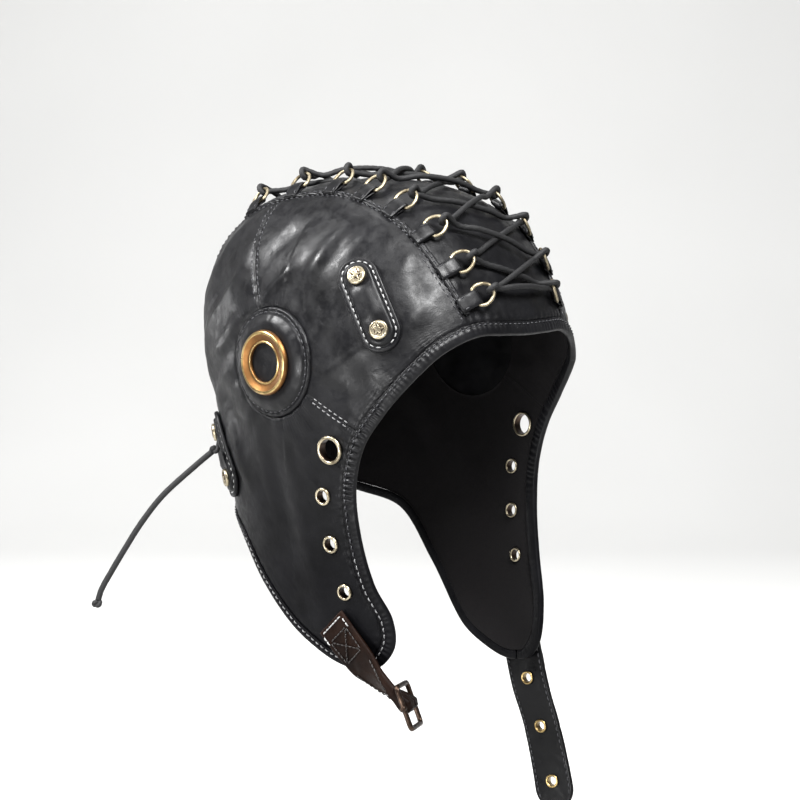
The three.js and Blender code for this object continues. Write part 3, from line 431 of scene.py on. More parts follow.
def seam_lines(side):
    """The seams of one side of the hat, as lines of directions."""
    t = np.linspace(0, 1, 160)
    strip = strip_heading(BROW_ANGLE + (NAPE_ANGLE - BROW_ANGLE) * t,
                          side * strip_half(BROW_ANGLE + (NAPE_ANGLE - BROW_ANGLE) * t))
    crown = strip_heading(CORONAL_ANGLE, side * strip_half(CORONAL_ANGLE))
    disc = {key: disc_heading(DISC_SEAMS[key], EAR["radius"], side) for key in ("coronal", "flap")}
    corner = hem_edge("face", row_place("face", FLAP_SEAM_ROW, side))
    return {
        "strip": strip,
        "coronal": chart_line(crown, disc["coronal"], t),
        "flap": chart_line(disc["flap"], corner, t),
        "disc": disc_heading(360 * t, EAR["radius"], side),
        "face": hem_edge("face", row_place("face", FACE_ROWS * t, side)),
        "nape": hem_edge("nape", row_place("nape", NAPE_LAST * t, side)),
    }


# Relief of the leather

# Random values from 0 to 1 that all noise is read from
LATTICE = np.random.default_rng(7).random((32, 32, 32))


def noise(points, size, seed=0):
    """Smooth random field from 0 to 1: lattice values a size apart, joined by cubic steps."""
    at = np.asarray(points, float) / size + 11.3 * seed + 97.0
    low = np.floor(at).astype(int)
    t = at - low
    t = t * t * (3 - 2 * t)
    value = 0.0
    for corner in np.ndindex(2, 2, 2):
        weight = np.prod(np.where(np.array(corner), t, 1 - t), axis=-1)
        i, j, k = np.moveaxis((low + corner) % 32, -1, 0)
        value = value + weight * LATTICE[i, j, k]
    return value


def layered(points, size, layers, seed=0):
    """Noise of halving size and height, centred on 0."""
    return sum((noise(points, size / 2 ** k, seed + k) - 0.5) / 2 ** k for k in range(layers))


def creased(points, size, seed=0):
    """Sharp valleys between round swells: the folded-over absolute value of a warped noise."""
    warp = np.stack([layered(points, size * 1.3, 2, seed + 20 + k) for k in range(3)], -1)
    return np.abs(noise(points + warp * size * 1.6, size, seed) - 0.5) * 2


def nearest(points, line, chunk=20000):
    """Distance from each point to a line of points, and the run of the nearest one."""
    run = run_length(line)
    far, at = np.empty(len(points)), np.empty(len(points))
    square = (line ** 2).sum(-1)
    for start in range(0, len(points), chunk):
        part = points[start:start + chunk]
        gaps = square - 2 * part @ line.T + (part ** 2).sum(-1)[:, None]
        i = np.argmin(gaps, axis=1)
        far[start:start + chunk] = np.sqrt(np.maximum(gaps[np.arange(len(part)), i], 0))
        at[start:start + chunk] = run[i]
    return far, at


def ripple(run, pitch, seed):
    """Uneven waves along a run, from -1 to 1: a sine whose phase and height wander."""
    line = stack(run, seed * 17.0, 0.0)
    phase = run / pitch + 1.6 * layered(line, pitch * 4, 2, seed)
    return np.sin(2 * math.pi * phase) * (0.35 + 1.3 * noise(line, pitch * 3, seed + 5))


SEAM_LOOK = {
    "strip": {"ditch": 0.6, "pucker": 0.22, "pitch": 7.0, "spread": 6.0},
    "coronal": {"ditch": 0.55, "pucker": 0.12, "pitch": 7.5, "spread": 5.0},
    "flap": {"ditch": 0.6, "pucker": 0.12, "pitch": 6.0, "spread": 4.0},
    "disc": {"ditch": 0.8, "pucker": 0.2, "pitch": 9.0, "spread": 6.0},
    "face": {"ditch": 0.7, "pucker": 0.3, "pitch": 4.6, "spread": 5.0},
    "nape": {"ditch": 0.7, "pucker": 0.2, "pitch": 5.0, "spread": 4.0},
}

# Folds of the worn leather in side view: two ends, half width and height in millimetres
CREASES = [
    (-29, -16, -26, -30, 3.6, 1.1), (-26, -29, -20, -45, 3.8, 1.5), (-20, -44, -24, -70, 3.6, 1.3),
    (-44, -21, -35, -37, 4.0, 1.1), (-9, -41, 9, -57, 3.0, 1.2), (22, -37, 49, -65, 4.2, 1.6),
    (18, -63, 53, -89, 4.2, 1.6), (32, -89, 57, -111, 4.5, 1.4), (22, -25, 33, -41, 4.0, 1.0),
    (-17, -77, -28, -56, 4.0, -0.9), (-42, -55, -36, -81, 4.5, -1.0), (-63, -32, -62, -46, 4.0, 1.1),
    (-75, -55, -69, -73, 3.6, 1.1), (-57, -76, -36, -91, 4.0, 1.0), (6, -11, 7, -22, 3.5, 0.9),
    (-7, -8, -25, -17, 4.0, 1.0), (40, -124, 26, -150, 4.5, 1.0), (12, -128, 2, -170, 5.0, 0.8),
    (-50, -100, -30, -96, 4.0, -0.9), (60, -70, 68, -100, 5.0, 1.2), (-12, -20, 10, -34, 5.0, -1.0),
    (44, -20, 60, -44, 5.0, 1.2), (-55, -52, -50, -66, 3.0, 0.7), (-68, -44, -76, -60, 3.0, -0.8),
]


def ridge(points, start, stop, wide):
    """Bell across the line between two points in side view, fading out past its ends."""
    start, stop = np.array(start, float), np.array(stop, float)
    along = stop - start
    flat = points[:, 1:] - start
    t = np.clip(flat @ along / (along @ along), 0, 1)
    wander = wide * 0.7 * layered(points, 18, 1, 33)
    across = np.linalg.norm(flat - t[:, None] * along, axis=1) + wander
    taper = 0.35 + 0.65 * np.sin(math.pi * t)
    return np.exp(-(across / wide) ** 2) * taper


def leather_relief(points):
    """Height of the creased leather above its smooth form: broad swells, sharp creases, a ditch along
    each seam and the ripples that the thread draws up beside it."""
    flat = points.reshape(-1, 3)
    worn = 0.25 + 0.75 * smooth(flat[:, 2], -190, -110)
    lean = np.where(flat[:, 1] > -5, 0.9, -0.25)[:, None] * smooth(np.abs(flat[:, :1]), 30, 50)
    drawn = np.concatenate([flat[:, :1], flat[:, 1:2] + lean * flat[:, 2:], flat[:, 2:] * 0.42], axis=1)
    swell = 1.1 * layered(flat, 40, 2, 3) + 1.0 * layered(drawn, 14, 2, 9)
    crease = -0.5 * np.exp(-6 * creased(drawn, 20, 2)) * smooth(noise(flat, 45, 4), 0.4, 0.65)
    height = (swell + crease) * worn + 0.2 * layered(flat, 5, 2, 14)
    for y, z, end_y, end_z, wide, rise in CREASES:
        height = height + rise * ridge(flat, (y, z), (end_y, end_z), wide) * (np.abs(flat[:, 0]) > 30)
    for i, (name, line) in enumerate(SEAMS):
        look = SEAM_LOOK[name]
        far, run = nearest(flat, line)
        fade = np.exp(-far / look["spread"])
        height = height * (1 - 0.85 * np.exp(-far / 3.0))
        height = height + look["pucker"] * ripple(run, look["pitch"], i) * fade
        height = height - look["ditch"] * np.exp(-(far / 0.95) ** 2)
    return height.reshape(points.shape[:-1])


# Every seam as a line of points
SEAMS = [(name, resampled(skin(line), 1.2))
         for side in SIDES.values() for name, line in seam_lines(side).items()]


# Meshes

def grid_faces(rows, columns, wrap=(False, False)):
    """Four corners of each face of a grid of points, wrapped round in either way."""
    i, j = np.meshgrid(np.arange(rows - (not wrap[0])), np.arange(columns - (not wrap[1])),
                       indexing="ij")
    ahead, beside = (i + 1) % rows, (j + 1) % columns
    corners = [i * columns + j, ahead * columns + j, ahead * columns + beside, i * columns + beside]
    return np.stack(corners, -1).reshape(-1, 4)


def enclosed(points, faces):
    """Six times the volume inside, negative where the faces point inwards."""
    total = 0.0
    for part in faces:
        a = points[part[:, 0]]
        for k in range(1, part.shape[1] - 1):
            total += np.einsum("ij,ij->", a, np.cross(points[part[:, k]], points[part[:, k + 1]]))
    return total


def make_piece(name, points, faces, finishes, finish_of=None, replaces=(), slot=None):
    """One smooth mesh from points in millimetres and lists of faces, turned to point outwards. It
    rides on the hat, and stands for the nodes that it replaces."""
    if enclosed(points, faces) < 0:
        faces = [part[:, ::-1] for part in faces]
    mesh = bpy.data.meshes.new(name)
    sizes = np.concatenate([np.full(len(part), part.shape[1]) for part in faces])
    corners = np.concatenate([part.ravel() for part in faces]).astype(np.int32)
    mesh.vertices.add(len(points))
    mesh.vertices.foreach_set("co", (points * MM).astype(np.float32).ravel())
    mesh.loops.add(len(corners))
    mesh.loops.foreach_set("vertex_index", corners)
    mesh.polygons.add(len(sizes))
    starts = np.concatenate([[0], np.cumsum(sizes)[:-1]])
    mesh.polygons.foreach_set("loop_start", starts.astype(np.int32))
    for finish in finishes:
        mesh.materials.append(finish)
    if finish_of is not None:
        mesh.polygons.foreach_set("material_index", finish_of.astype(np.int32))
    mesh.update(calc_edges=True)
    mesh.validate()
    mesh.shade_smooth()
    piece = bpy.data.objects.new(name, mesh)
    bpy.context.scene.collection.objects.link(piece)
    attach(piece, "root")
    if replaces:
        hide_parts(*replaces)
    return piece


def wall(outer, inner, keep=None):
    """Closed wall between two grids of points: both faces, and a rim round every open edge. Where keep
    is False the wall has a hole. Returns points, faces and 1 for each inner face."""
    rows, columns = outer.shape[:2]
    count = rows * columns
    points = np.concatenate([outer.reshape(-1, 3), inner.reshape(-1, 3)])
    quads = grid_faces(rows, columns)
    if keep is not None:
        quads = quads[keep.reshape(-1)]
    edges = np.concatenate([np.stack([quads[:, k], quads[:, (k + 1) % 4]], -1) for k in range(4)])
    key = np.sort(edges, axis=1) @ np.array([count, 1])
    _, index, uses = np.unique(key, return_index=True, return_counts=True)
    rim = edges[index[uses == 1]]
    rim_faces = np.stack([rim[:, 1], rim[:, 0], rim[:, 0] + count, rim[:, 1] + count], -1)
    faces = [quads, quads[:, ::-1] + count, rim_faces]
    used = np.unique(np.concatenate([part.ravel() for part in faces]))
    renumber = np.full(2 * count, -1)
    renumber[used] = np.arange(len(used))
    inside = np.concatenate([np.zeros(len(quads)), np.ones(len(quads) + len(rim_faces))])
    return points[used], [renumber[part] for part in faces], inside


def sweep(sections, closed=False):
    """Skin through a row of ringed sections, with its two ends closed by fans to their middles."""
    count, around = sections.shape[:2]
    points = sections.reshape(-1, 3)
    faces = [grid_faces(count, around, (closed, True))]
    if not closed:
        middles = sections[[0, -1]].mean(axis=1)
        points = np.concatenate([points, middles])
        ring = np.arange(around)
        following = (ring + 1) % around
        last = (count - 1) * around
        faces.append(np.stack([ring, following, np.full(around, count * around)], -1))
        faces.append(np.stack([last + following, last + ring, np.full(around, count * around + 1)], -1))
    return points, faces


def joined(parts):
    """Several (points, faces) as one."""
    points, faces, first = [], [], 0
    for some, lists in parts:
        points.append(some)
        faces.extend(part + first for part in lists)
        first += len(some)
    return np.concatenate(points), faces


def plain_piece(name, body, key, node, slot):
    """A piece of one finish, from its points and faces, that stands for one node of the frame."""
    return make_piece(name, *body, [finish(key)], None, [node], slot)


def sewn(name, rows, key):
    """Rows of stitches as one piece of thread."""
    points, faces = joined([row for row in rows if row])
    return make_piece(name, points, faces, [finish(key)], slot="black_cord")


# Finishes

def linear(code):
    """sRGB hex colour as linear red, green, blue and alpha."""
    parts = [int(code[k:k + 2], 16) / 255 for k in (0, 2, 4)]
    return (*(c / 12.92 if c < 0.04045 else ((c + 0.055) / 1.055) ** 2.4 for c in parts), 1.0)


def dress(tree, node, **inputs):
    """Gives each named input of a node a value or a link."""
    for key, value in inputs.items():
        socket = node.inputs[key.replace("_", " ")]
        if isinstance(value, bpy.types.NodeSocket):
            tree.links.new(value, socket)
        else:
            socket.default_value = value


def add(tree, kind, settings=None, **inputs):
    """Adds a node, sets its properties, and gives each named input a value or a link."""
    node = tree.nodes.new(kind)
    for key, value in (settings or {}).items():
        setattr(node, key, value)
    dress(tree, node, **inputs)
    return node


def new_finish(name):
    """Empty material: its tree, its shader and the object coordinates in metres."""
    material = bpy.data.materials.new(name)
    material.use_nodes = True
    tree = material.node_tree
    shader = tree.nodes["Principled BSDF"]
    where = add(tree, "ShaderNodeTexCoord").outputs["Object"]
    return material, tree, shader, where


def shade(colour):
    """Colour of a ramp's stop: a hex code made linear, a grey from 0 to 1, or a colour as it is."""
    if isinstance(colour, str):
        return linear(colour)
    if isinstance(colour, float):
        return (colour, colour, colour, 1.0)
    return tuple(colour)


def ramp(tree, source, stops):
    """Colour that runs straight from stop to stop as the source rises."""
    node = add(tree, "ShaderNodeValToRGB", Fac=source)
    elements = node.color_ramp.elements
    while len(elements) < len(stops):
        elements.new(0.5)
    for element, (place, colour) in zip(elements, stops):
        element.position = place
        element.color = shade(colour)
    return node.outputs["Color"]


def per(size_mm):
    """Texture scale that gives a pattern of this size."""
    return 1 / (size_mm * MM)


def leather_finish(name, dark, light, rough, shine=0.19, low=0.2):
    """Leather with a thin coat: near black in soft patches, a pebbled grain and fine wrinkles as bump,
    and a sheen that wanders and grows from low at the flaps' tips to full at the crown, where the hat
    is rubbed. The real grain is finer than a pixel, so it is drawn a little coarser."""
    material, tree, shader, where = new_finish(name)
    patches = add(tree, "ShaderNodeTexNoise", Vector=where, Scale=per(22), Detail=4.0, Roughness=0.6)
    fine = add(tree, "ShaderNodeTexNoise", Vector=where, Scale=per(8), Detail=5.0, Roughness=0.68)
    grain = add(tree, "ShaderNodeTexVoronoi", {"feature": "DISTANCE_TO_EDGE"}, Vector=where,
                Scale=per(0.9))
    wrinkles = add(tree, "ShaderNodeTexNoise", Vector=where, Scale=per(6), Detail=3.5, Roughness=0.5,
                   Distortion=0.6)
    dull = add(tree, "ShaderNodeMapRange", Value=fine.outputs["Fac"], From_Min=0.35, From_Max=0.65,
               To_Min=rough - 0.03, To_Max=rough + 0.2)
    height = add(tree, "ShaderNodeSeparateXYZ", Vector=where).outputs["Z"]
    burnish = add(tree, "ShaderNodeMapRange", Value=height, From_Min=-0.19, From_Max=-0.09,
                  To_Min=shine * low, To_Max=shine)
    pores = add(tree, "ShaderNodeBump", Strength=0.12, Distance=0.1 * MM,
                Height=ramp(tree, grain.outputs["Distance"], [(0.0, 0.0), (0.12, 1.0)]))
    lines = add(tree, "ShaderNodeBump", Strength=0.34, Distance=0.55 * MM,
                Height=wrinkles.outputs["Fac"], Normal=pores.outputs["Normal"])
    dress(tree, shader, Base_Color=ramp(tree, patches.outputs["Fac"], [(0.3, dark), (0.7, light)]),
          Roughness=dull.outputs["Result"], Specular_IOR_Level=burnish.outputs["Result"],
          Normal=lines.outputs["Normal"], IOR=1.48)
    return material


def lining_finish(name, colour):
    """Brushed synthetic lining: matt black that swallows light. Its nap is drawn coarser than it is,
    because the real one is too fine to show."""
    material, tree, shader, where = new_finish(name)
    nap = add(tree, "ShaderNodeTexNoise", Vector=where, Scale=per(0.8), Detail=4.0)
    bump = add(tree, "ShaderNodeBump", Strength=0.3, Distance=0.2 * MM, Height=nap.outputs["Fac"])
    dress(tree, shader, Base_Color=ramp(tree, nap.outputs["Fac"], [(0.3, colour), (0.8, "0d0b0c")]),
          Normal=bump.outputs["Normal"], Roughness=0.92, Specular_IOR_Level=0.15)
    return material


def thread_finish(name, dark, light, rough=0.42):
    """Twisted thread or cord with a bond or wax on it: a soft gloss over plies of two near shades."""
    material, tree, shader, where = new_finish(name)
    ply = add(tree, "ShaderNodeTexNoise", Vector=where, Scale=per(0.5), Detail=2.0)
    dress(tree, shader, Base_Color=ramp(tree, ply.outputs["Fac"], [(0.3, dark), (0.75, light)]),
          Roughness=rough, Specular_IOR_Level=0.35)
    return material


def metal_finish(name, dark, light, rough, pit_mm=2.5):
    """Pressed metal with worn plating: bright and smooth where it is rubbed, dark and dull where it has
    aged, with shallow pits."""
    material, tree, shader, where = new_finish(name)
    age = add(tree, "ShaderNodeTexNoise", Vector=where, Scale=per(pit_mm * 2), Detail=5.0, Roughness=0.65)
    pits = add(tree, "ShaderNodeTexNoise", Vector=where, Scale=per(pit_mm), Detail=3.0)
    dull = add(tree, "ShaderNodeMapRange", Value=age.outputs["Fac"], From_Min=0.3, From_Max=0.7,
               To_Min=rough + 0.14, To_Max=rough - 0.04)
    bump = add(tree, "ShaderNodeBump", Strength=0.2, Distance=0.15 * MM, Height=pits.outputs["Fac"])
    dress(tree, shader, Base_Color=ramp(tree, age.outputs["Fac"], [(0.32, dark), (0.62, light)]),
          Roughness=dull.outputs["Result"], Normal=bump.outputs["Normal"], Metallic=1.0)
    return material


# Materials made so far
FINISHES = {}


def finish(key):
    """The hat's materials, each made once."""
    look = bpy.context.scene.hat_leather
    makers = {
        # Coated cowhide of the panels: near black, with soft highlights on its swells
        "leather": lambda: leather_finish("coated_leather", look.dark, look.light, look.roughness),
        # Leather rubbed with wax: warm dark brown with a dull sheen
        "brown": lambda: leather_finish("waxed_brown_leather", "080403", "1a0e08", 0.46, shine=0.24),
        # Split leather with a smooth coat: blacker than the panels, with small sharp lights in its creases
        "strap": lambda: leather_finish("creased_strap_leather", "040405", "0b0b0c", 0.28, shine=0.1,
                                        low=1.0),
        # Knitted lining with a brushed face: the darkest thing in the hat
        "lining": lambda: lining_finish("brushed_lining", "050405"),
        # Bonded nylon: black stitches that show by their gloss
        "thread": lambda: thread_finish("nylon_thread", "0c0c0e", "303034"),
        # The same thread where light catches it, low on the flaps and on the flap seams: mid grey
        "grey_thread": lambda: thread_finish("grey_thread", "38383a", "727272"),
        # Polished polyester: light grey stitches that stand out on the tabs and the brown strap
        "pale_thread": lambda: thread_finish("polished_thread", "6a6a6c", "a9a9a7"),
        # Linen drawn through wax: nearly black brown on the brown strap
        "brown_thread": lambda: thread_finish("waxed_linen_thread", "090706", "1a1411"),
        # Braided cotton with wax rubbed in: flat black with little gloss
        "cord": lambda: thread_finish("waxed_cord", "040405", "0b0b0d", 0.7),
        # Pressed brass, tumbled bright: pale gold rims
        "gold": lambda: metal_finish("pale_brass", "544b3b", "b0a68f", 0.3),
        # Pressed brass left to darken: brown gold with wide dull patches
        "brass": lambda: metal_finish("aged_brass", "4c341d", "785431", 0.42, 6.0),
        # The same brass where hands have rubbed its rolled edges, and partly a painted highlight there:
        # yellow and brighter
        "old_gold": lambda: metal_finish("rubbed_brass", "54452c", "b39b69", 0.3),
        # Cast bronze with a dark patina: brown black with a soft shine on its edges
        # Inside the flap eyelets' barrels the same colour is painted shade
        "bronze": lambda: metal_finish("bronze_patina_and_shade", "1d1714", "4a3c33", 0.36),
        # Drawn brass wire, dulled by a bath: greyish gold
        "wire": lambda: metal_finish("antique_brass_wire", "4b4335", "9f957e", 0.46),
    }
    if key not in FINISHES:
        FINISHES[key] = makers[key]()
    return FINISHES[key]


# Leather panels

SEAM_TURN = math.degrees(SEAM_HALF / EAR["radius"])
# Outline of each side panel: its rows, the legs with the angles or hem points they run between, the
# columns where they start and the last one ends, and the disc's angles at some columns
OUTLINES = {
    "front": {
        "rows": 74,
        "legs": [("strip", CORONAL_ANGLE, BROW_ANGLE), ("face", BROW_ROWS, FLAP_SEAM_ROW)],
        "columns": [0, 8, 15],
        "disc": {0: DISC_SEAMS["coronal"] - SEAM_TURN, 15: DISC_SEAMS["flap"] - 360 + SEAM_TURN},
    },
    "rear": {
        "rows": 100,
        "legs": [("strip", CORONAL_ANGLE, NAPE_ANGLE), ("nape", NAPE_ROWS, NAPE_LAST),
                 ("face", FACE_ROWS, FLAP_SEAM_ROW)],
        "columns": [0, 9, 20, 29],
        "disc": {0: DISC_SEAMS["coronal"] + SEAM_TURN, 9: DISC_SEAMS["nape_corner"],
                 20: DISC_SEAMS["tip"], 29: DISC_SEAMS["flap"] - SEAM_TURN},
    },
}


def panel_outline(part, columns, side):
    """Edge on the disc and outline of a side panel. Each leg of the outline runs evenly along its seam,
    by angle on the strip seam and by hem points on a hem."""
    row = OUTLINES[part]
    inner = disc_heading(np.interp(columns, list(row["disc"]), list(row["disc"].values())),
                         EAR["radius"] + SEAM_HALF, side)
    outline = 0.0
    for (seam, first, last), begin, end in reversed(list(zip(row["legs"], row["columns"],
                                                             row["columns"][1:]))):
        at = first + (last - first) * np.clip((columns - begin) / (end - begin), 0, 1)
        if seam == "strip":
            leg = strip_heading(at, side * (strip_half(at) + SEAM_HALF))
        else:
            leg = hem_edge(seam, row_place(seam, at, side), SEAM_HALF)
        outline = np.where((columns <= end)[:, None], leg, outline)
    return inner, outline


def crowded(t):
    """Shares from 0 to 1 that stand closer together near both ends."""
    return t - 0.55 * np.sin(2 * math.pi * t) / (2 * math.pi)


def panel_grid(inner, outer, rows):
    """Grid of directions on straight chart lines from the disc's edge to the outline."""
    t = crowded(np.linspace(0, 1, rows))[:, None]
    return chart_line(inner[None], outer[None], np.broadcast_to(t, (rows, len(outer))))


def even_columns(part, side, pitch):
    """Column places that are about a pitch apart along the outline."""
    coarse = np.linspace(0, OUTLINES[part]["columns"][-1], 600)
    run = run_length(skin(panel_outline(part, coarse, side)[1]))
    return np.interp(run[-1] * crowded(np.linspace(0, 1, int(run[-1] / pitch))), run, coarse)


def eyelet_seat(y, z, side):
    """Frame of a fitting on the leather: its middle, up and across in the surface, and outward."""
    direction = side_heading(y, z, side)
    return seat_at(skin(direction), outward(direction))


def seat_at(point, normal):
    """Frame at a point: z along the normal, x as near to upwards as a right angle to z allows."""
    z = unit(normal)
    x = unit(UP - z * (UP @ z))
    return point, np.array([x, np.cross(z, x), z])


def placed(seat, local):
    """Local points, x and y in the surface and z outward, in the hat's frame."""
    origin, axes = seat
    return origin + local @ axes


def opened(points, others, seats, radii):
    """Holes for the eyelets: faces inside a radius go, and the points round each hole move on to its
    circle, in both faces of the wall."""
    rows, columns = points.shape[:2]
    keep = np.ones((rows - 1, columns - 1), bool)
    for (origin, axes), radius in zip(seats, radii):
        local = (points - origin) @ axes.T
        from_axis = np.hypot(local[..., 0], local[..., 1])
        near = (from_axis < radius * 3) & (np.abs(local[..., 2]) < 10)
        middles = (from_axis[1:, 1:] + from_axis[:-1, :-1] + from_axis[1:, :-1] + from_axis[:-1, 1:]) / 4
        gone = (middles < radius) & near[1:, 1:]
        keep &= ~gone
        touched = np.zeros((rows, columns), int)
        for di, dj in np.ndindex(2, 2):
            touched[di:rows - 1 + di, dj:columns - 1 + dj] += gone
        edge = (touched > 0) & (touched < 4)
        for grid in (points, others):
            flat = (grid[edge] - origin) @ axes.T
            flat[:, :2] *= (radius / np.hypot(flat[:, 0], flat[:, 1]))[:, None]
            grid[edge] = origin + flat @ axes
    return keep


def leather_panel(name, directions, node, seats=(), radii=()):
    """Panel of leather with its relief on the outside and a softer copy of it on the lining."""
    plain = skin(directions)
    normals = outward(directions)
    relief = leather_relief(plain)
    outer = plain + normals * relief[..., None]
    inner = plain + normals * (np.clip(relief * 0.6, -0.5, 0.8) - WALL)[..., None]
    keep = opened(outer, inner, seats, radii) if len(seats) else None
    points, faces, inside = wall(outer, inner, keep)
    return make_piece(name, points, faces, [finish("leather"), finish("lining")], inside, [node],
                      "black_leather")


def build_panels(look):
    """The four side panels as grids from the disc to their outlines, the rear ones with eyelet holes,
    and the centre panel as a grid from hem to hem."""
    for letter, side in SIDES.items():
        for part, row in OUTLINES.items():
            inner, outer = panel_outline(part, even_columns(part, side, look.pitch), side)
            holes = ([], [])
            if part == "rear":
                seats = [eyelet_seat(y, z, side) for y, z in zip(EYELETS["y"], EYELETS["z"])]
                holes = (seats, [hole + BARREL for hole in EYELETS["hole"]])
            leather_panel(f"leather_{part}_{letter}", panel_grid(inner, outer, row["rows"]),
                          f"{part}_panel_{letter}", *holes)
    across = 2 * crowded(np.linspace(0, 1, 72)) - 1
    start = angle_of(hem_edge("face", row_place("face", BROW_ROWS * np.abs(across), 1), SEAM_HALF))
    stop = angle_of(hem_edge("nape", row_place("nape", NAPE_ROWS * np.abs(across), 1), SEAM_HALF))
    t = crowded(np.linspace(0, 1, 240))[None]
    angles = start[:, None] + (stop - start)[:, None] * t
    directions = strip_heading(angles, across[:, None] * (strip_half(angles) - SEAM_HALF))
    leather_panel("leather_centre", directions, "centre_panel")


# Round sections, lathes and tubes

def full_turn(count):
    """Angles shared evenly over a full turn, without its end."""
    return np.linspace(0, 2 * math.pi, count, endpoint=False)


def rounded(corners, radius, steps=4):
    """Closed outline with its corners rounded: each corner gives a short curve that starts and ends a
    radius away from it, or at the middle of a shorter side."""
    here = np.asarray(corners, float)
    before, after = np.roll(here, 1, axis=0), np.roll(here, -1, axis=0)
    t = np.linspace(0, 1, steps)[None, :, None]

    def cut(other):
        """Point a radius away towards a neighbour, or halfway to it."""
        gap = other - here
        length = np.linalg.norm(gap, axis=-1, keepdims=True)
        return (here + gap / length * np.minimum(radius, length * 0.499))[:, None]

    start, stop, middle = cut(before), cut(after), here[:, None]
    curve = (1 - t) ** 2 * start + 2 * t * (1 - t) * middle + t * t * stop
    return curve.reshape(-1, here.shape[1])


def turned(profile, sides):
    """Rings of a lathe profile of radius and height: each point carried round z."""
    angle = full_turn(sides)
    radius, height = profile[:, :1], profile[:, 1:2]
    return stack(radius * np.cos(angle), radius * np.sin(angle), height)


def carried(points, closed):
    """Axes across a path, carried along it without twist: each is the one before, straightened to the
    new tangent, and the leftover turn of a closed path is shared out."""
    if closed:
        tangents = unit(np.roll(points, -1, axis=0) - np.roll(points, 1, axis=0))
    else:
        tangents = unit(np.gradient(points, axis=0))
    side = np.cross(tangents[0], UP if abs(tangents[0][2]) < 0.9 else [1.0, 0.0, 0.0])
    sides = []
    for tangent in [*tangents, tangents[0]]:
        side = side - tangent * (tangent @ side)
        side = side / np.linalg.norm(side)
        sides.append(side)
    sides, last = np.array(sides[:-1]), sides[-1]
    others = np.cross(tangents, sides)
    if closed:
        turn = math.atan2(last @ others[0], last @ sides[0])
        share = -turn * np.linspace(0, 1, len(points), endpoint=False)[:, None]
        sides, others = (sides * np.cos(share) + others * np.sin(share),
                         others * np.cos(share) - sides * np.sin(share))
    return sides, others


def tube(points, radius, sides=12, closed=False, braid=0.0, braid_pitch=4.0):
    """Sections of a round tube along a path. Two sets of strands, laid in opposite turns, raise the
    surface of a braided one by their higher crest."""
    across, beside = carried(points, closed)
    run = run_length(points)[:, None]
    angle = full_turn(sides)[None]
    reach = np.broadcast_to(np.asarray(radius, float).reshape(-1, 1), (len(points), 1))
    if braid:
        lay = 2 * math.pi * run / braid_pitch
        strands = np.maximum(np.cos(3 * angle + lay), np.cos(3 * angle - lay))
        reach = reach + braid * (strands - 0.5)
    ring = np.cos(angle)[..., None] * across[:, None] + np.sin(angle)[..., None] * beside[:, None]
    return points[:, None] + ring * reach[..., None]


def smoothed(points, pitch, closed=False):
    """Curve through the points with its own points a pitch apart."""
    if closed:
        count = len(points)
        ring = np.concatenate([points[-2:], points, points[:3]])
        place = np.linspace(2, count + 2, count * 12 + 1) / (len(ring) - 1)
        return resampled(curve_point(ring, place), pitch)[:-1]
    place = np.linspace(0, 1, len(points) * 12)
    return resampled(curve_point(points, place), pitch)


# Stitches

def stitches(line, normals, look, pitch=None):
    """A row of stitches: capsules laid end to end along a line, with a gap between, each arched so
    that its ends go into the leather. Returns points and faces."""
    pitch = pitch or look.stitch_pitch
    run = run_length(line)
    count = int((run[-1] - pitch * 0.4) / pitch)
    if count < 1:
        return None
    starts = (run[-1] - count * pitch) / 2 + pitch * np.arange(count) + (pitch - look.stitch_length) / 2
    u = np.array([0.0, 0.12, 0.35, 0.65, 0.88, 1.0])
    at = starts[:, None] + look.stitch_length * u
    middle, up = (np.stack([np.interp(at, run, source[:, k]) for k in range(3)], -1)
                  for source in (line, normals))
    up = unit(up)
    along = unit(middle[:, -1:] - middle[:, :1])
    beside = unit(np.cross(up, along))
    arch = np.array([-0.75, -0.2, 0.3, 0.3, -0.2, -0.75]) * look.stitch_radius * 1.3
    thick = np.array([0.45, 0.85, 1.0, 1.0, 0.85, 0.45]) * look.stitch_radius
    angle = full_turn(6)[:, None]
    ring = np.cos(angle) * beside[:, :, None] + np.sin(angle) * up[:, :, None]
    sections = (middle + up * arch[:, None])[:, :, None] + ring * thick[:, None, None]
    points = sections.reshape(count, -1, 3)
    each = points.shape[1]
    wall_faces = grid_faces(6, 6, (False, True))
    ends = np.array([[0, 1, 2, 3, 4, 5], [35, 34, 33, 32, 31, 30]])
    first = (np.arange(count) * each)[:, None, None]
    faces = [(wall_faces + first).reshape(-1, 4), (ends + first).reshape(-1, 6)]
    return points.reshape(-1, 3), faces


def beside_line(directions, across, lift):
    """Line on the leather at a distance across from a line of directions, with its normals."""
    points = skin(directions)
    normals = outward(directions)
    tangent = unit(np.gradient(points, axis=0))
    moved = heading(points + np.cross(normals, tangent) * across)
    normals = outward(moved)
    base = skin(moved)
    return base + normals * (leather_relief(base) + lift)[:, None], normals


def even_headings(directions, pitch):
    """The same line of directions with its points a pitch apart."""
    return heading(resampled(skin(directions), pitch))


# Bindings

def hem_wave(run, height, look):
    """Uneven waves along a band, nearly as long as a stitch, and highest where the hem bends in at the
    jaw: a low level plus a smooth rise and fall over the height."""
    bend = 0.25 + 0.95 * smooth(height, -168, -145) * smooth(-height, 98, 118)
    return look.band_pucker * ripple(run, 2.9, 3) * bend


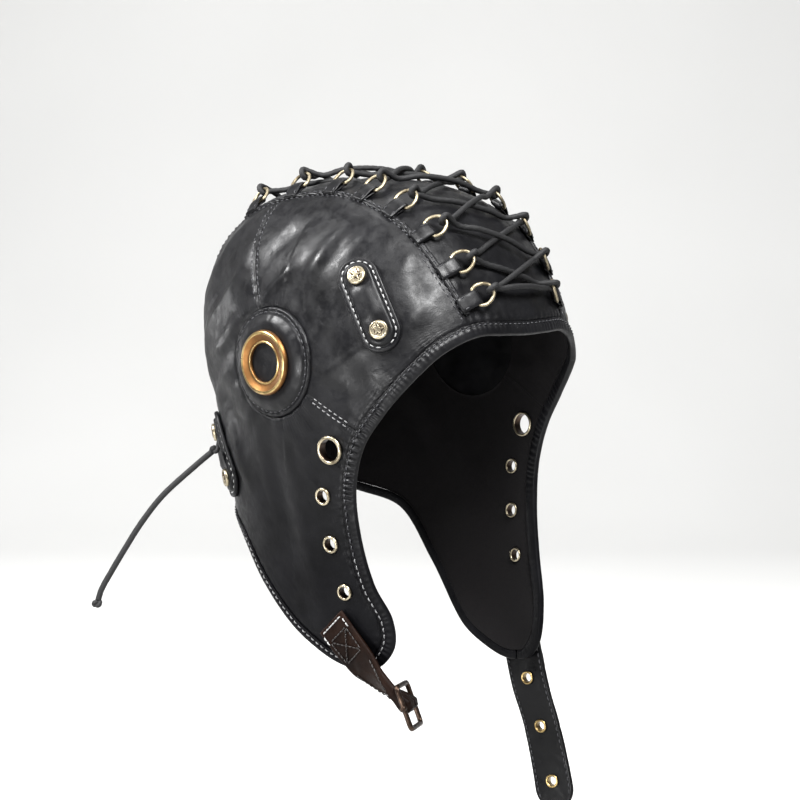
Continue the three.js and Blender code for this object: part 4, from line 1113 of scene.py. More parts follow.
def binding_section(width):
    """Half-rounded section of a folded band: distance in from the hem and height, from the band's
    edge on the outside, over the fold, to its edge on the lining."""
    share = np.array([1.0, 0.985, 0.94, 0.86, 0.76, 0.64, 0.5, 0.36, 0.24])
    height = np.array([0.05, 0.42, 0.68, 0.86, 0.95, 1.05, 1.1, 1.05, 0.85])
    fold_in, fold_reach = 0.9, 1.1
    across = fold_in + (width - fold_in) * share
    lift = BAND["proud"] * height
    turn = np.linspace(0.2, math.pi - 0.2, 9)
    radius = WALL / 2 + BAND["proud"]
    fold_across = fold_in - fold_reach * np.sin(turn)
    fold_lift = -WALL / 2 + radius * np.cos(turn) * 0.98
    return (np.concatenate([across, fold_across, across[::-1]]),
            np.concatenate([lift, fold_lift, -WALL - lift[::-1]]))


def binding_body(hem, look):
    """The band's sections along the hem, and their places. Waves drawn up by the thread die out at the
    fold, and a groove runs along the stitches."""
    gap = 0.05 / (2 * HEMS[hem]["rows"])
    coarse = np.linspace(gap, 1 - gap, 1500)
    run = run_length(curve_point(HEMS[hem]["curve"], coarse))
    places = np.interp(np.arange(0, run[-1], look.band_pitch), run, coarse)
    run = np.interp(places, coarse, run)
    width = band_width(hem, places)
    (narrow, top), (wide, _) = (binding_section(BAND[key]) for key in ("nape", "face"))
    blend = ((width - BAND["nape"]) / (BAND["face"] - BAND["nape"]))[:, None]
    across = narrow * (1 - blend) + wide * blend - GAP * 0.5
    middle = inset_heading(hem, places[:, None], across)
    base = skin(middle)
    from_edge = across / width[:, None]
    outside = np.where(top > -WALL / 2, 1.0, -0.4)
    wave = hem_wave(run[:, None] + from_edge * 0.6, base[..., 2], look)
    crimp = wave * smooth(from_edge, 0.0, 0.3) * outside
    swell = 0.16 * layered(base, 6, 2, 31) * outside
    from_stitches = across - (width[:, None] - BAND["stitch_in"])
    groove = -0.35 * np.exp(-(from_stitches / 0.7) ** 2) * (top > 0)
    points = base + outward(middle) * (top + crimp + swell + groove)[..., None]
    return points, places


def build_bindings(look):
    """Two folded bands, each with a row of stitches that follows its waves. Low on the flaps, where
    light catches it, the thread looks grey."""
    thread = []
    grey_below = -178
    for hem in ("face", "nape"):
        sections, places = binding_body(hem, look)
        plain_piece(f"binding_{hem}", sweep(sections), "leather", f"{hem}_binding", "black_leather")
        direction = inset_heading(hem, places, band_width(hem, places) - BAND["stitch_in"])
        normal = outward(direction)
        line = skin(direction, BAND["proud"] * 0.95 - 0.05)
        run = run_length(curve_point(HEMS[hem]["curve"], places))
        line = line + normal * (hem_wave(run + 0.5, line[:, 2], look) * 0.8)[:, None]
        thread.append(stitches(line, normal, look))
    points, faces = joined(thread)
    low = np.concatenate([points[part[:, 0], 2] < grey_below for part in faces])
    make_piece("hem_stitches", points, faces, [finish("thread"), finish("grey_thread")], low,
               slot="black_cord")


def build_seam_stitches(look):
    """Stitch rows beside the seams: one on the strip seams, two on the others, and a short second row
    on the strip seams above the brow."""
    rows, grey = [], []
    seams = (("strip", (-1.9,), rows), ("coronal", (-1.9, 1.9), rows), ("flap", (-1.1, 1.1), grey))
    brow_points, brow_shift = 30, -3.6
    for side in SIDES.values():
        lines = seam_lines(side)
        for name, shifts, into in seams:
            headings = even_headings(lines[name], 1.5)
            for shift in shifts:
                line, normal = beside_line(headings, shift * side, 0.02)
                into.append(stitches(line[2:-2], normal[2:-2], look))
        strip = even_headings(lines["strip"], 1.5)
        rows.append(stitches(*beside_line(strip[:brow_points], brow_shift * side, 0.02), look))
    sewn("seam_stitches", rows, "thread")
    sewn("flap_stitches", grey, "grey_thread")


# Ear discs

def disc_height(radius, angle, side):
    """Padded disc: flat under the ring, falling to the rim, with a sewn groove near the edge and
    radial puckers that the groove draws up."""
    fall = smooth(radius, EAR["flat"], EAR["radius"])
    pad = EAR["pad"] * (1 - fall) + EAR["rim"] * fall
    groove = -0.75 * np.exp(-((radius - EAR["groove"]) / 0.8) ** 2)
    run = angle * EAR["radius"]
    pucker = 0.15 * ripple(run, 8.5, 6 + side) * np.exp(-((radius - 22.3) / 2.4) ** 2)
    pucker = pucker + 0.16 * ripple(run, 4.6, 8 + side) * np.exp(-((radius - 25.6) / 1.3) ** 2)
    edge = -1.2 * smooth(radius, 26.0, 26.8) ** 2
    return pad + groove + pucker + edge


def build_discs(look):
    """Padded discs as rings of points round the ear, whose tops are raised to a flat field under the
    brass ring, with a row of stitches in each groove."""
    radii = np.concatenate([[0.6], np.linspace(2, 16, 12), np.linspace(16.7, 26.79, 26)])[:, None]
    angles = np.linspace(0, 360, 180, endpoint=False)[None]
    stitch_angles = np.linspace(0, 360, 220)
    groove, ring_sides = EAR["groove"], 96
    for letter, side in SIDES.items():
        centre = side_heading(EAR["y"], EAR["z"], side)
        normal, middle = outward(centre), plain_point(centre)

        def raised(points, radius, angle):
            """The disc's height, less what the form falls away below its flat field."""
            flat = 1 - smooth(radius, EAR["flat"], EAR["radius"])
            return disc_height(radius, np.radians(angle), side) - (points - middle) @ normal * flat, flat

        direction = disc_heading(angles, radii, side)
        plain = skin(direction)
        lift, flat = raised(plain, radii, angles)
        swell = 0.35 * layered(plain, 9, 3, 40) * smooth(radii, 0, 3) * (0.4 + 0.6 * flat)
        top = plain + outward(direction) * (lift + swell)[..., None]
        body = sweep(np.concatenate([top, skin(direction, -WALL)[::-1]]))
        disc = plain_piece(f"ear_pad_{letter}", body, "leather", f"ear_disc_{letter}", "black_leather")

        direction = disc_heading(stitch_angles, groove, side)
        line, normals = skin(direction), outward(direction)
        lift, _ = raised(line, groove, stitch_angles)
        row = stitches(line + normals * (lift + 0.12)[:, None], normals, look)
        sewn(f"disc_stitches_{letter}", [row], "thread")

        seat = seat_at(middle + normal * (EAR["pad"] + GAP), normal)
        sections = placed(seat, turned(rounded(EAR_RING, 0.5, 3), ring_sides))
        points, faces = sweep(sections, closed=True)
        ring = np.repeat(np.arange(len(sections)), ring_sides)
        # The crests of both rolls take the brighter brass: rubbed brass, and a painted highlight
        rubbed = ((ring > 11) & (ring < 18)) | ((ring > 26) & (ring < 33))
        make_piece(f"ear_ring_{letter}", points, faces, [finish("brass"), finish("old_gold")], rubbed,
                   [f"ear_grommet_{letter}"], "aged_brass")


# Eyelets and rivets

def eyelet_profile(outer, hole, wall_depth, gap):
    """Section of an eyelet, radius and height: its rolled face, its barrel and its clinched back. Both
    rolls are half turns whose height is a power of the sine."""
    foot = -wall_depth - gap
    flange = (outer - hole) / 2
    turn = np.linspace(0, math.pi, 10)
    roll = np.stack([(outer + hole) / 2 - flange * np.cos(turn), gap + 1.15 * np.sin(turn) ** 0.8], -1)
    under_face, barrel = gap - 0.35, hole + 0.6
    face = np.concatenate([roll, [[outer - 0.3, under_face], [barrel, under_face], [barrel, foot]]])
    back = outer - 0.4
    flange = (back - hole) / 2
    under = np.stack([(back + hole) / 2 + flange * np.cos(turn), foot - 0.8 * np.sin(turn) ** 0.8], -1)
    return np.concatenate([face, under])


def barrel_shade_faces(count, around):
    """1 for the faces inside an eyelet's barrel, dark bronze as painted shade, and 0 elsewhere."""
    ring = np.arange(count)[:, None] + np.zeros(around)
    return ((ring < 2) | (ring > count - 3)).ravel().astype(int)


def build_eyelets(_):
    """The four eyelets of each flap, turned from their sections."""
    around = 40
    rows = list(zip(*(EYELETS[key] for key in ("y", "z", "outer", "hole"))))
    for letter, side in SIDES.items():
        for i, (y, z, outer, hole) in enumerate(rows):
            gap = 0.6 if i == 0 else 0.45
            profile = eyelet_profile(outer, hole, WALL, gap)
            sections = placed(eyelet_seat(y, z, side), turned(profile, around))
            name = f"flap_eyelet_{letter}{i + 1}"
            # The dark bronze inside each barrel is painted shade
            make_piece(f"rim_{name}", *sweep(sections, closed=True), [finish("gold"), finish("bronze")],
                       barrel_shade_faces(len(sections), around), [name], "pale_brass")


def star_depth(radius, angle, reach):
    """How far inside a five-pointed star a point lies: the star's outline at its angle, a straight line
    from tip to notch, less the radius."""
    span = math.pi / 5
    part = np.abs((angle / (2 * math.pi / 5)) % 1 - 0.5) * 2 * math.pi / 5
    tip, notch = 0.72 * reach, 0.3 * reach
    swing = span - part
    outline = tip * notch * math.sin(span) / (notch * np.sin(span - swing) + tip * np.sin(swing))
    return outline - radius


def rivet_shape():
    """Rings of a rivet and 1 for its dark faces: a rolled rim round a low dome, on which a star stands
    up inside a groove."""
    radius = RIVET["radius"]
    rim = np.array([[0.98, 0.0], [1.0, 0.8], [0.97, 1.5], [0.9, 1.95], [0.82, 1.95], [0.75, 1.6]])
    rim[:, 0] *= radius
    inside = np.linspace(0.72, 0.03, 22) * radius
    dome = 1.5 + 0.45 * (1 - (inside / radius) ** 2)
    shape = turned(np.concatenate([rim, np.stack([inside, dome], -1)]), 60)
    reach, angle = np.hypot(shape[..., 0], shape[..., 1]), np.arctan2(shape[..., 1], shape[..., 0])
    depth = star_depth(reach, angle % (2 * math.pi), radius)
    field = reach < radius * 0.74
    shape[..., 2] += 0.5 * smooth(depth, -0.1, 0.5) * field
    shape[..., 2] -= 0.3 * np.exp(-((depth + 0.12) / 0.2) ** 2) * field
    dark = (np.abs(depth + 0.15) < 0.33) & field
    return shape, np.concatenate([dark[:-1].ravel(), np.zeros(2 * dark.shape[1])])


def build_rivets(_):
    """Two star rivets on each tab, sunk a little into its leather."""
    sunk = 0.45
    shape, dark = rivet_shape()
    for letter, side in SIDES.items():
        for tab in TABS:
            for i, end in enumerate(("from", "to")):
                direction = side_heading(*tab[end], side)
                seat = seat_at(skin(direction, RIVET["lift"] - sunk), outward(direction))
                name = f"{tab['name']}_rivet_{letter}{i + 1}"
                make_piece(f"star_{name}", *sweep(placed(seat, shape)), [finish("gold"), finish("bronze")],
                           dark, [name], "pale_brass")


# Lozenge tabs

def stadium(long, wide, inset, arc=27, straight=16):
    """Outline of a lozenge with round ends, moved in from its edge, from the tip on its long axis."""
    turn = np.linspace(-math.pi / 2, math.pi / 2, arc)
    radius = wide - inset
    end = np.stack([long - wide + radius * np.cos(turn), radius * np.sin(turn)], -1)
    t = np.linspace(0, 1, straight + 2)[1:-1, None]
    top = end[-1] * (1 - t) + np.array([-(long - wide), radius]) * t
    half = np.concatenate([end, top])
    return np.roll(np.concatenate([half, -half]), -(arc // 2), axis=0)


def ladder(first, count):
    """Closes a ring that mirrors itself over the line through its first point, rung by rung."""
    k = np.arange(1, count // 2 - 1)
    rungs = np.stack([k, k + 1, count - k - 1, count - k], -1)
    ends = np.array([[0, 1, count - 1], [count // 2, count // 2 + 1, count // 2 - 1]])
    return [first + rungs, first + ends]


def build_tabs(look):
    """Lozenges whose rings follow the tab's section from the edge to a crowned middle, laid on the
    leather, with a row of stitches inside the edge."""
    thread = []
    inset, height = (np.array(TAB_PROFILE[key]) for key in ("inset", "height"))
    stitch_height = 1.45
    for letter, side in SIDES.items():
        for tab in TABS:
            start, stop = (skin(side_heading(*tab[end], side)) for end in ("from", "to"))
            long = np.linalg.norm(stop - start) / 2 + TAB["reach"]
            centre = (start + stop) / 2
            axis = unit(stop - start)
            across = unit(np.cross(outward(heading(centre)), axis))

            def on_tab(flat, lift):
                """Points of the tab's plane laid on the leather and raised, with their normals."""
                near = heading(centre + flat[..., :1] * axis + flat[..., 1:] * across)
                return skin(near, lift), outward(near)

            rings = np.stack([stadium(long, TAB["half"], d) for d in inset])
            flat = stack(rings[..., 0], rings[..., 1], 0.0)
            wave = 0.45 * layered(flat, 7, 3, 50) * smooth(inset, 1.5, 6)[:, None]
            free = 1 - smooth(np.abs(rings[..., 0]), long - TAB["reach"] - 8, long - TAB["reach"] - 4)
            crown = 1.5 * smooth(inset, 3.2, 9.6)[:, None] * free
            top, _ = on_tab(rings, height[:, None] + GAP + wave + crown)
            foot = rings[[18, 8, 0]]
            under, _ = on_tab(foot, np.full(foot.shape[:2], GAP - 0.2))
            sections = np.concatenate([under[:-1], top])
            count, around = sections.shape[:2]
            faces = [grid_faces(count, around, (False, True)), *ladder(0, around),
                     *(part[:, ::-1] for part in ladder((count - 1) * around, around))]
            name = f"{tab['name']}_{letter}"
            plain_piece(f"leather_{name}", (sections.reshape(-1, 3), faces), "leather", name,
                        "black_leather")

            line = stadium(long, TAB["half"], TAB["stitch_in"])
            line, normal = on_tab(np.concatenate([line, line[:1]]), stitch_height + GAP + 0.15)
            thread.append(stitches(line, normal, look))
    sewn("tab_stitches", thread, "pale_thread")


# Rings, loops and lace

def ring_seat(angle, side):
    """Frame of a ring's place on the strip seam: x along the seam, y to the middle, z outward."""
    here = strip_heading(angle, side * strip_half(angle))
    ahead = skin(strip_heading(angle + 1, side * strip_half(angle + 1)))
    point, z = skin(here), outward(here)
    x = ahead - point
    x = unit(x - z * (x @ z))
    return point, np.array([x, side * np.cross(z, x), z])


def bow_points(x, out):
    """Points of a ring's plane, which tilts up from its bar: x along the bar, out away from it."""
    tilt = math.radians(RING["tilt"])
    return stack(x, RING["out"] + out * math.cos(tilt), RING["lift"] + out * math.sin(tilt))


def ring_path():
    """A D: its straight bar, two round corners and a deep bow."""
    half = RING["width"] / 2 - RING["wire"]
    shoulder = half * RING["shoulder"]
    deep = RING["length"] - 2 * RING["wire"] - shoulder
    bar = np.linspace(-0.8, 0.8, 7) * half
    turn = np.linspace(0, math.pi, 17)
    x = np.concatenate([bar, half * np.cos(turn)])
    out = np.concatenate([np.zeros(7), shoulder + deep * np.sin(turn)])
    return smoothed(bow_points(x, out), 0.7, closed=True)


def loop_grids():
    """Upper and lower face of a leather strip folded round the ring's bar."""
    thick, reach = 1.1, RING["wire"] + 0.55
    turn = np.linspace(math.radians(75), math.radians(-80), 12)
    nose = np.stack([RING["out"] + reach * np.cos(turn), RING["lift"] + reach * np.sin(turn)], -1)
    root = np.array([[-1.9, 1.7], [1.0, 2.2], [3.2, 2.9], [5.4, 3.4]])
    tail = np.array([[5.6, 1.1], [3.0, 1.0], [0.5, 1.0], [-1.9, 1.0]])
    path = smoothed(np.pad(np.concatenate([root, nose, tail]), ((0, 0), (0, 1))), 0.6)[:, :2]
    tangent = unit(np.gradient(path, axis=0))
    normal = np.stack([-tangent[:, 1], tangent[:, 0]], -1)
    across = np.linspace(-1, 1, 9)
    edge = 1 - 0.55 * np.abs(across) ** 6
    grids = []
    for sign in (1, -1):
        face = path[:, None] + normal[:, None] * (sign * thick / 2 * edge)[None, :, None]
        width = 3.75 * (across * (1 - 0.03 * sign))
        grids.append(stack(width[None], face[..., 0], face[..., 1]))
    return grids


def welt(angles, side):
    """Raised allowance over the strip seam: a grid across it whose rippled top has rounded edges."""
    half = strip_half(angles)
    run = run_length(skin(strip_heading(angles, side * half)))
    share = np.array([-1.0, -0.92, -0.6, -0.2, 0.2, 0.6, 0.92, 1.0])
    height = np.array([0.2, 0.8, 1.3, 1.15, 1.15, 1.3, 0.8, 0.2])
    across = strip_heading(angles[:, None], side * (half[:, None] + 1.6 * share))
    rise = height + 0.2 * ripple(run[:, None], 5.2, 12) * (height > 0.5)
    return wall(skin(across, rise), skin(across, -0.4))[:2]


def build_loops(look):
    """Wire rings at their places along the strip seams, each in a folded loop with two short rows of
    stitches, and the raised seam that the loops come out of."""
    thread = []
    path, grids = ring_path(), loop_grids()
    sewn_rows = slice(1, 9)
    for letter, side in SIDES.items():
        parts = []
        for i, angle in enumerate(RING_ANGLES):
            seat = ring_seat(angle, side)
            wire = tube(placed(seat, path), RING["wire"], 10, closed=True)
            plain_piece(f"wire_ring_{letter}{i + 1}", sweep(wire, closed=True), "wire",
                        f"d_ring_{letter}{i + 1}", "pale_brass")
            top, under = (placed(seat, grid) for grid in grids)
            parts.append(wall(top, under)[:2])
            up = np.broadcast_to(seat[1][2], (8, 3))
            thread += [stitches(top[sewn_rows, column], up, look, 2.6) for column in (1, -2)]
        angles = np.linspace(RING_ANGLES[0] - 3, RING_ANGLES[-1] + 4, 160)
        parts.append(welt(angles, side))
        plain_piece(f"leather_loops_{letter}", joined(parts), "leather", f"lace_tabs_{letter}",
                    "black_leather")
        middle = strip_heading(angles, side * strip_half(angles))
        thread.append(stitches(skin(middle, 1.2), outward(middle), look))
    sewn("loop_stitches", thread, "thread")


def lace_turn(seat):
    """The lace comes over a ring's bow, down through the ring and back under the bow, on an arc that
    is centred on the wire."""
    deep = RING["length"] - 2 * RING["wire"]
    turn = np.radians(LACE["turns"])
    arc = LACE["hug"] * stack(0.3 * np.cos(turn / 2), np.cos(turn), np.sin(turn))
    return placed(seat, bow_points(0.0, deep) + arc)


def lace_route():
    """All points of the lace: back to front in low crossings, and front to back in high ones. Each
    crossing rises on a parabola over the leather, and each end lies flat behind the last ring."""
    last = len(RING_ANGLES) - 1
    stops = [(i, 1 if (last - i) % 2 else -1, False) for i in range(last, -1, -1)]
    front = stops[-1][1]
    stops += [(i, front if i % 2 else -front, True) for i in range(last + 1)]
    turns = [lace_turn(ring_seat(RING_ANGLES[i], side)) for i, side, _ in stops]
    t = np.array([0.14, 0.32, 0.5, 0.68, 0.86])

    def tail(side):
        """An end of the lace, slanting away from the middle plane."""
        angles = np.array([54, 51, 47, 43, 40.0])
        wide = (angles - 36) * 0.55
        return skin(strip_heading(angles, side * wide), LACE["low"])

    def span(start, stop, high, seed):
        """Points between two rings."""
        peak = LACE["high"] * (0.85 + 0.3 * LATTICE[seed, 3, 5]) if high else LACE["low"] + LACE["rise"]
        lift = LACE["low"] + (peak - LACE["low"]) * (1 - (2 * t - 1) ** 2)
        return skin(heading(start + (stop - start) * t[:, None]), lift)

    points = [tail(stops[0][1])]
    for k, turn in enumerate(turns):
        points.append(turn)
        if k + 1 < len(turns):
            points.append(span(turn[-1], turns[k + 1][0], stops[k + 1][2], k))
    points.append(tail(stops[-1][1])[::-1])
    return np.concatenate(points)


def build_lace(_):
    """One braided tube along the whole route."""
    sections = tube(smoothed(lace_route(), 0.9), LACE["radius"], 14, braid=0.1, braid_pitch=4.2)
    plain_piece("waxed_lace", sweep(sections), "cord", "crown_lace", "black_cord")


# Straps

def along_rows(rows, column, t):
    """One column of a strap's rows as a smooth curve over its run."""
    table = {"place": np.arange(len(rows)), "value": [row[column] for row in rows]}
    return through(table, "place", "value", np.asarray(t, float) * (len(rows) - 1))


def strap_frames(rows, t, face):
    """Frames of a strap at shares of its run: x along it, z out of its face, turned about the run."""
    line = np.array([row[:3] for row in rows], float)
    t = np.asarray(t, float)
    origin, x = curve_point(line, t), curve_tangent(line, t)
    turn = np.radians(along_rows(rows, 3, t))[..., None]
    out = np.array([face, 0.0, 0.0])
    dot = (x @ out)[..., None]
    z = out * np.cos(turn) + np.cross(x, out) * np.sin(turn) + x * dot * (1 - np.cos(turn))
    z = unit(z - x * (z * x).sum(-1, keepdims=True))
    return origin, np.stack([x, np.cross(z, x), z], -2)


def strap_relief(points):
    """Creases across a worn strap, and soft swells."""
    bend = stack(points[..., 0] * 0.5, points[..., 1] * 0.5, points[..., 2])
    crease = -0.55 * np.exp(-7 * creased(bend, 9, 60))
    return crease + 0.6 * layered(points, 9, 3, 61)


def strap_grid(rows, t, half, thick, face):
    """Upper and lower grid of a strap, its frames and its shares across: the edges are quarter rounds,
    and the leather's creases show fully above and faintly below."""
    origin, axes = strap_frames(rows, t, face)
    share = np.concatenate([[-1.0, -0.99, -0.96, -0.91], np.linspace(-0.84, 0.84, 21),
                            [0.91, 0.96, 0.99, 1.0]])
    y = share * half[:, None]
    edge = np.minimum(half[:, None] - np.abs(y), STRAP_EDGE) / STRAP_EDGE
    round_edge = np.sqrt(np.clip(1 - (1 - edge) ** 2, 0.04, 1))
    grids = []
    for sign, strength in ((1, 1.0), (-1, 0.35)):
        local = stack(0.0, y, sign * thick[:, None] / 2 * round_edge)
        points = origin[:, None] + np.einsum("nmk,nkl->nml", local, axes)
        rise = strength * strap_relief(points)
        grids.append(points + sign * rise[..., None] * axes[:, None, 2])
    return grids, (origin, axes), share


def on_frames(origin, axes, y, z):
    """Points across and out from a strap's middle line, one to each of its frames."""
    return origin + np.einsum("nk,nkl->nl", stack(0.0, y, z), axes)


def build_chin_strap(look):
    """Creased strap that narrows on an elliptic curve to half its width at the tip, with three eyelets
    and a row of stitches along each edge of both faces."""
    t = np.linspace(0, 1, 150)
    narrow = np.maximum(t - CHIN["taper_from"], 0) / (1 - CHIN["taper_from"])
    half = CHIN["half"] * np.sqrt(1 - CHIN["taper"] * narrow ** 2)
    grids, (origin, axes), _ = strap_grid(CHIN_STRAP, t, half, np.full_like(t, CHIN["thick"]), 1)
    seats = [strap_frames(CHIN_STRAP, np.array(place), 1) for place in CHIN_EYELETS]
    keep = opened(*grids, seats, [CHIN["hole"] + BARREL] * len(seats))
    plain_piece("leather_chin_strap", wall(*grids, keep)[:2], "strap", "chin_strap", "black_leather")
    profile = eyelet_profile(CHIN["outer"], CHIN["hole"], 0.0, CHIN["thick"] / 2 + GAP)
    for i, seat in enumerate(seats):
        name = f"strap_eyelet_{i + 1}"
        plain_piece(f"rim_{name}", sweep(placed(seat, turned(profile, 36)), closed=True), "old_gold",
                    name, "pale_brass")
    thread = []
    for sign in (-1, 1):
        for face in (1, -1):
            line = on_frames(origin, axes, sign * (half - 2.0), face * (CHIN["thick"] / 2 + 0.1))
            thread.append(stitches(line[:-4], face * axes[:-4, 2], look))
    sewn("strap_stitches", thread, "thread")


def build_buckle_strap(look):
    """Brown strap that thickens where its end is folded over the pin, slotted there for the prong. Dark
    stitches make a crossed square and two rows towards the fold, and pale ones go round the sewn end."""
    t = np.linspace(0, 1, 90)
    half = BUCKLE["half"] * (1 - 0.2 * smooth(t, 0.94, 1))
    thick = along_rows(BUCKLE_STRAP, 4, t) + 2.8 * smooth(t, 0.5, 0.8)
    thick = thick * (1 - 0.45 * smooth(t, 0.92, 1) ** 2)
    grids, (origin, _), share = strap_grid(BUCKLE_STRAP, t, half, thick, -1)
    run = run_length(origin)
    slot_long, slot_half = 8.0, 1.7
    left = run[-1] - run
    from_middle = np.abs((share[1:] + share[:-1]) / 2)[None] * BUCKLE["half"]
    keep = ~((left[1:, None] < slot_long) & (from_middle < slot_half))
    plain_piece("leather_buckle_strap", wall(*grids, keep)[:2], "brown", "buckle_strap", "brown_leather")

    def on_strap(corners, pitch):
        """Stitches between two points of the strap's face, given as run and distance across."""
        line = resampled(np.pad(np.array(corners, float), ((0, 0), (0, 1))), 0.7)
        at = line[:, 0]
        seat = strap_frames(BUCKLE_STRAP, np.interp(at, run, t), -1)
        raised = on_frames(*seat, line[:, 1], np.interp(at, run, thick) / 2 + 0.12)
        return stitches(raised, seat[1][:, 2], look, pitch)

    middle, reach = 14.0, 6.6
    square = [(middle - reach, -reach), (middle + reach, -reach), (middle + reach, reach),
              (middle - reach, reach)]
    lines = [(square[i], square[j]) for i, j in ((0, 1), (1, 2), (2, 3), (3, 0), (0, 2), (1, 3))]
    lines += [((26.0, y), (run[-1] - 9, y)) for y in (-7.4, 7.4)]
    edge = [(9.5, -8.2), (1.8, -8.2), (1.8, 8.2), (9.5, 8.2)]
    sewn("buckle_stitches", [on_strap(line, 2.4) for line in lines], "brown_thread")
    sewn("buckle_edging", [on_strap(line, 2.5) for line in zip(edge, edge[1:])], "pale_thread")


def buckle_seat():
    """Frame of the buckle: on the cross pin in the strap's fold, turned about it."""
    origin, axes = strap_frames(BUCKLE_STRAP, np.array(1.0), -1)
    origin = origin - PIN["over"] * axes[0]
    c, s = math.cos(math.radians(BUCKLE["tilt"])), math.sin(math.radians(BUCKLE["tilt"]))
    return origin, np.array([c * axes[0] - s * axes[2], axes[1], s * axes[0] + c * axes[2]])


def build_buckle(_):
    """Cast frame: a square section with soft edges carried round a rectangle and worn unevenly. Its
    cross pin is turned with a knob at each end, and its prong tapers from a turned eye."""
    seat = buckle_seat()
    bar = BUCKLE["bar"]
    long, wide = (BUCKLE["length"] - bar) / 2, (BUCKLE["width"] - bar) / 2
    corners = np.array([[long, -wide], [long, wide], [-long, wide], [-long, -wide]])
    path = rounded(corners, 2.6, 9)
    path = resampled(np.pad(np.concatenate([path, path[:1]]), ((0, 0), (0, 1))), 0.8)[:-1]
    tangent = unit(np.roll(path, -1, axis=0) - np.roll(path, 1, axis=0))
    out = np.stack([tangent[:, 1], -tangent[:, 0], np.zeros(len(path))], -1)
    square = rounded(np.array([[-1, -1], [1, -1], [1, 1], [-1, 1.0]]) * bar / 2, 1.0, 4)
    wear = 1 + 0.05 * layered(path * 3, 6, 2, 70)[:, None]
    sections = (path[:, None] + out[:, None] * (square[:, 0] * wear)[..., None]
                + UP * (square[:, 1] * wear)[..., None])
    frame_body = sweep(placed(seat, sections), closed=True)

    reach = BUCKLE["width"] / 2 + PIN["end"]
    y = np.array([-reach, -reach + 0.25, -reach + 0.8, -reach + 1.6, -reach + 2.2, 0])
    radius = np.array([0.5, 1.2, 1.5, 1.45, 1.2, 1.2])
    y, radius = np.concatenate([y, -y[-2::-1]]), np.concatenate([radius, radius[-2::-1]])
    angle = full_turn(20)
    pin = stack(radius[:, None] * np.cos(angle), y[:, None], radius[:, None] * np.sin(angle))
    plain_piece("cast_buckle", joined([frame_body, sweep(placed(seat, pin))]), "bronze", "buckle_frame",
                "dark_bronze")

    x = np.array([1.6, 4, 8, 11.0, BUCKLE["length"] / 2 + 0.5])
    z = np.array([2.2, 2.75, 2.65, 2.55, 2.3])
    spine = smoothed(stack(x, 0.0, z), 0.5)
    taper = 0.95 - 0.25 * smooth(spine[:, 0], 4, 12)
    taper[-2:] *= [0.9, 0.55]
    prong = sweep(placed(seat, tube(spine, taper, 12)))
    turn = full_turn(28)[:, None]
    section = rounded([[1.55, -1.3], [2.6, -1.3], [2.6, 1.3], [1.55, 1.3]], 0.5, 3)
    eye = stack(section[:, 0] * np.cos(turn), section[:, 1], section[:, 0] * np.sin(turn))
    eye_body = sweep(placed(seat, eye), closed=True)
    plain_piece("cast_prong", joined([prong, eye_body]), "bronze", "buckle_prong", "dark_bronze")


# Drawcord

def knot_path(centre, size):
    """A trefoil: the path of a cord in an overhand knot."""
    t = full_turn(60)
    trefoil = stack(np.sin(t) + 2 * np.sin(2 * t), np.cos(t) - 2 * np.cos(2 * t), -1.6 * np.sin(3 * t))
    return centre + trefoil / 3 * size


def build_drawcord(_):
    """The drawn cord at its real length, with a knot at either end."""
    out, down = np.array(CORD_ROUTE, float).T
    route = np.array(CORD_START) + stack(out * CORD_HEADING[0], out * CORD_HEADING[1], -down)
    path = smoothed(route, 0.9)
    body = sweep(tube(path, CORD["radius"], 14, braid=0.12, braid_pitch=4.0))
    cord = plain_piece("braided_drawcord", body, "cord", "drawcord", "black_cord")
    for node, end, before in (("drawcord_stop", 0, 1), ("drawcord_knot", -1, -2)):
        centre = route[end] + unit(route[end] - route[before]) * (CORD["knot"] - 0.9)
        path_round = knot_path(centre, CORD["knot_size"])
        body = sweep(tube(path_round, CORD["knot_wire"], 12, closed=True), closed=True)
        plain_piece(f"knot_{node}", body, "cord", node, "black_cord")
    run_length(path)[-1] * MM
    [tuple(point * MM) for point in path]


# Stage

# What the camera and the lamps look at, in metres
AIM_AT = (-0.001, -0.014, -0.110)
# Lamps: turn from the camera to the right and rise, in degrees, distance and size in metres, and power
LAMPS = {
    "key": {"turn": 26, "rise": 51, "away": 1.0, "size": 0.42, "watts": 31},
    "side": {"turn": -116, "rise": 1, "away": 1.0, "size": 0.16, "watts": 1.7},
    "fold": {"turn": -77, "rise": 43, "away": 1.0, "size": 0.26, "watts": 25},
    "low": {"turn": -34, "rise": -9, "away": 1.2, "size": 0.26, "watts": 17},
    "paper": {"turn": 180, "rise": 70, "away": 1.7, "size": 0.9, "watts": 13},
}
# Paper backdrop: its floor's height, half width and reaches, the radius of its sweep and its height
FLOOR = {"z": -345.0, "half": 3000.0, "front": 2600.0, "back": 900.0, "sweep": 600.0, "top": 3000.0}


def put(data, name, place, target):
    """A camera or lamp at a place, turned to look at a target."""
    thing = bpy.data.objects.new(name, data)
    thing.location = place
    thing.rotation_mode = "QUATERNION"
    thing.rotation_quaternion = (target - thing.location).to_track_quat("-Z", "Y")
    bpy.context.scene.collection.objects.link(thing)
    return thing


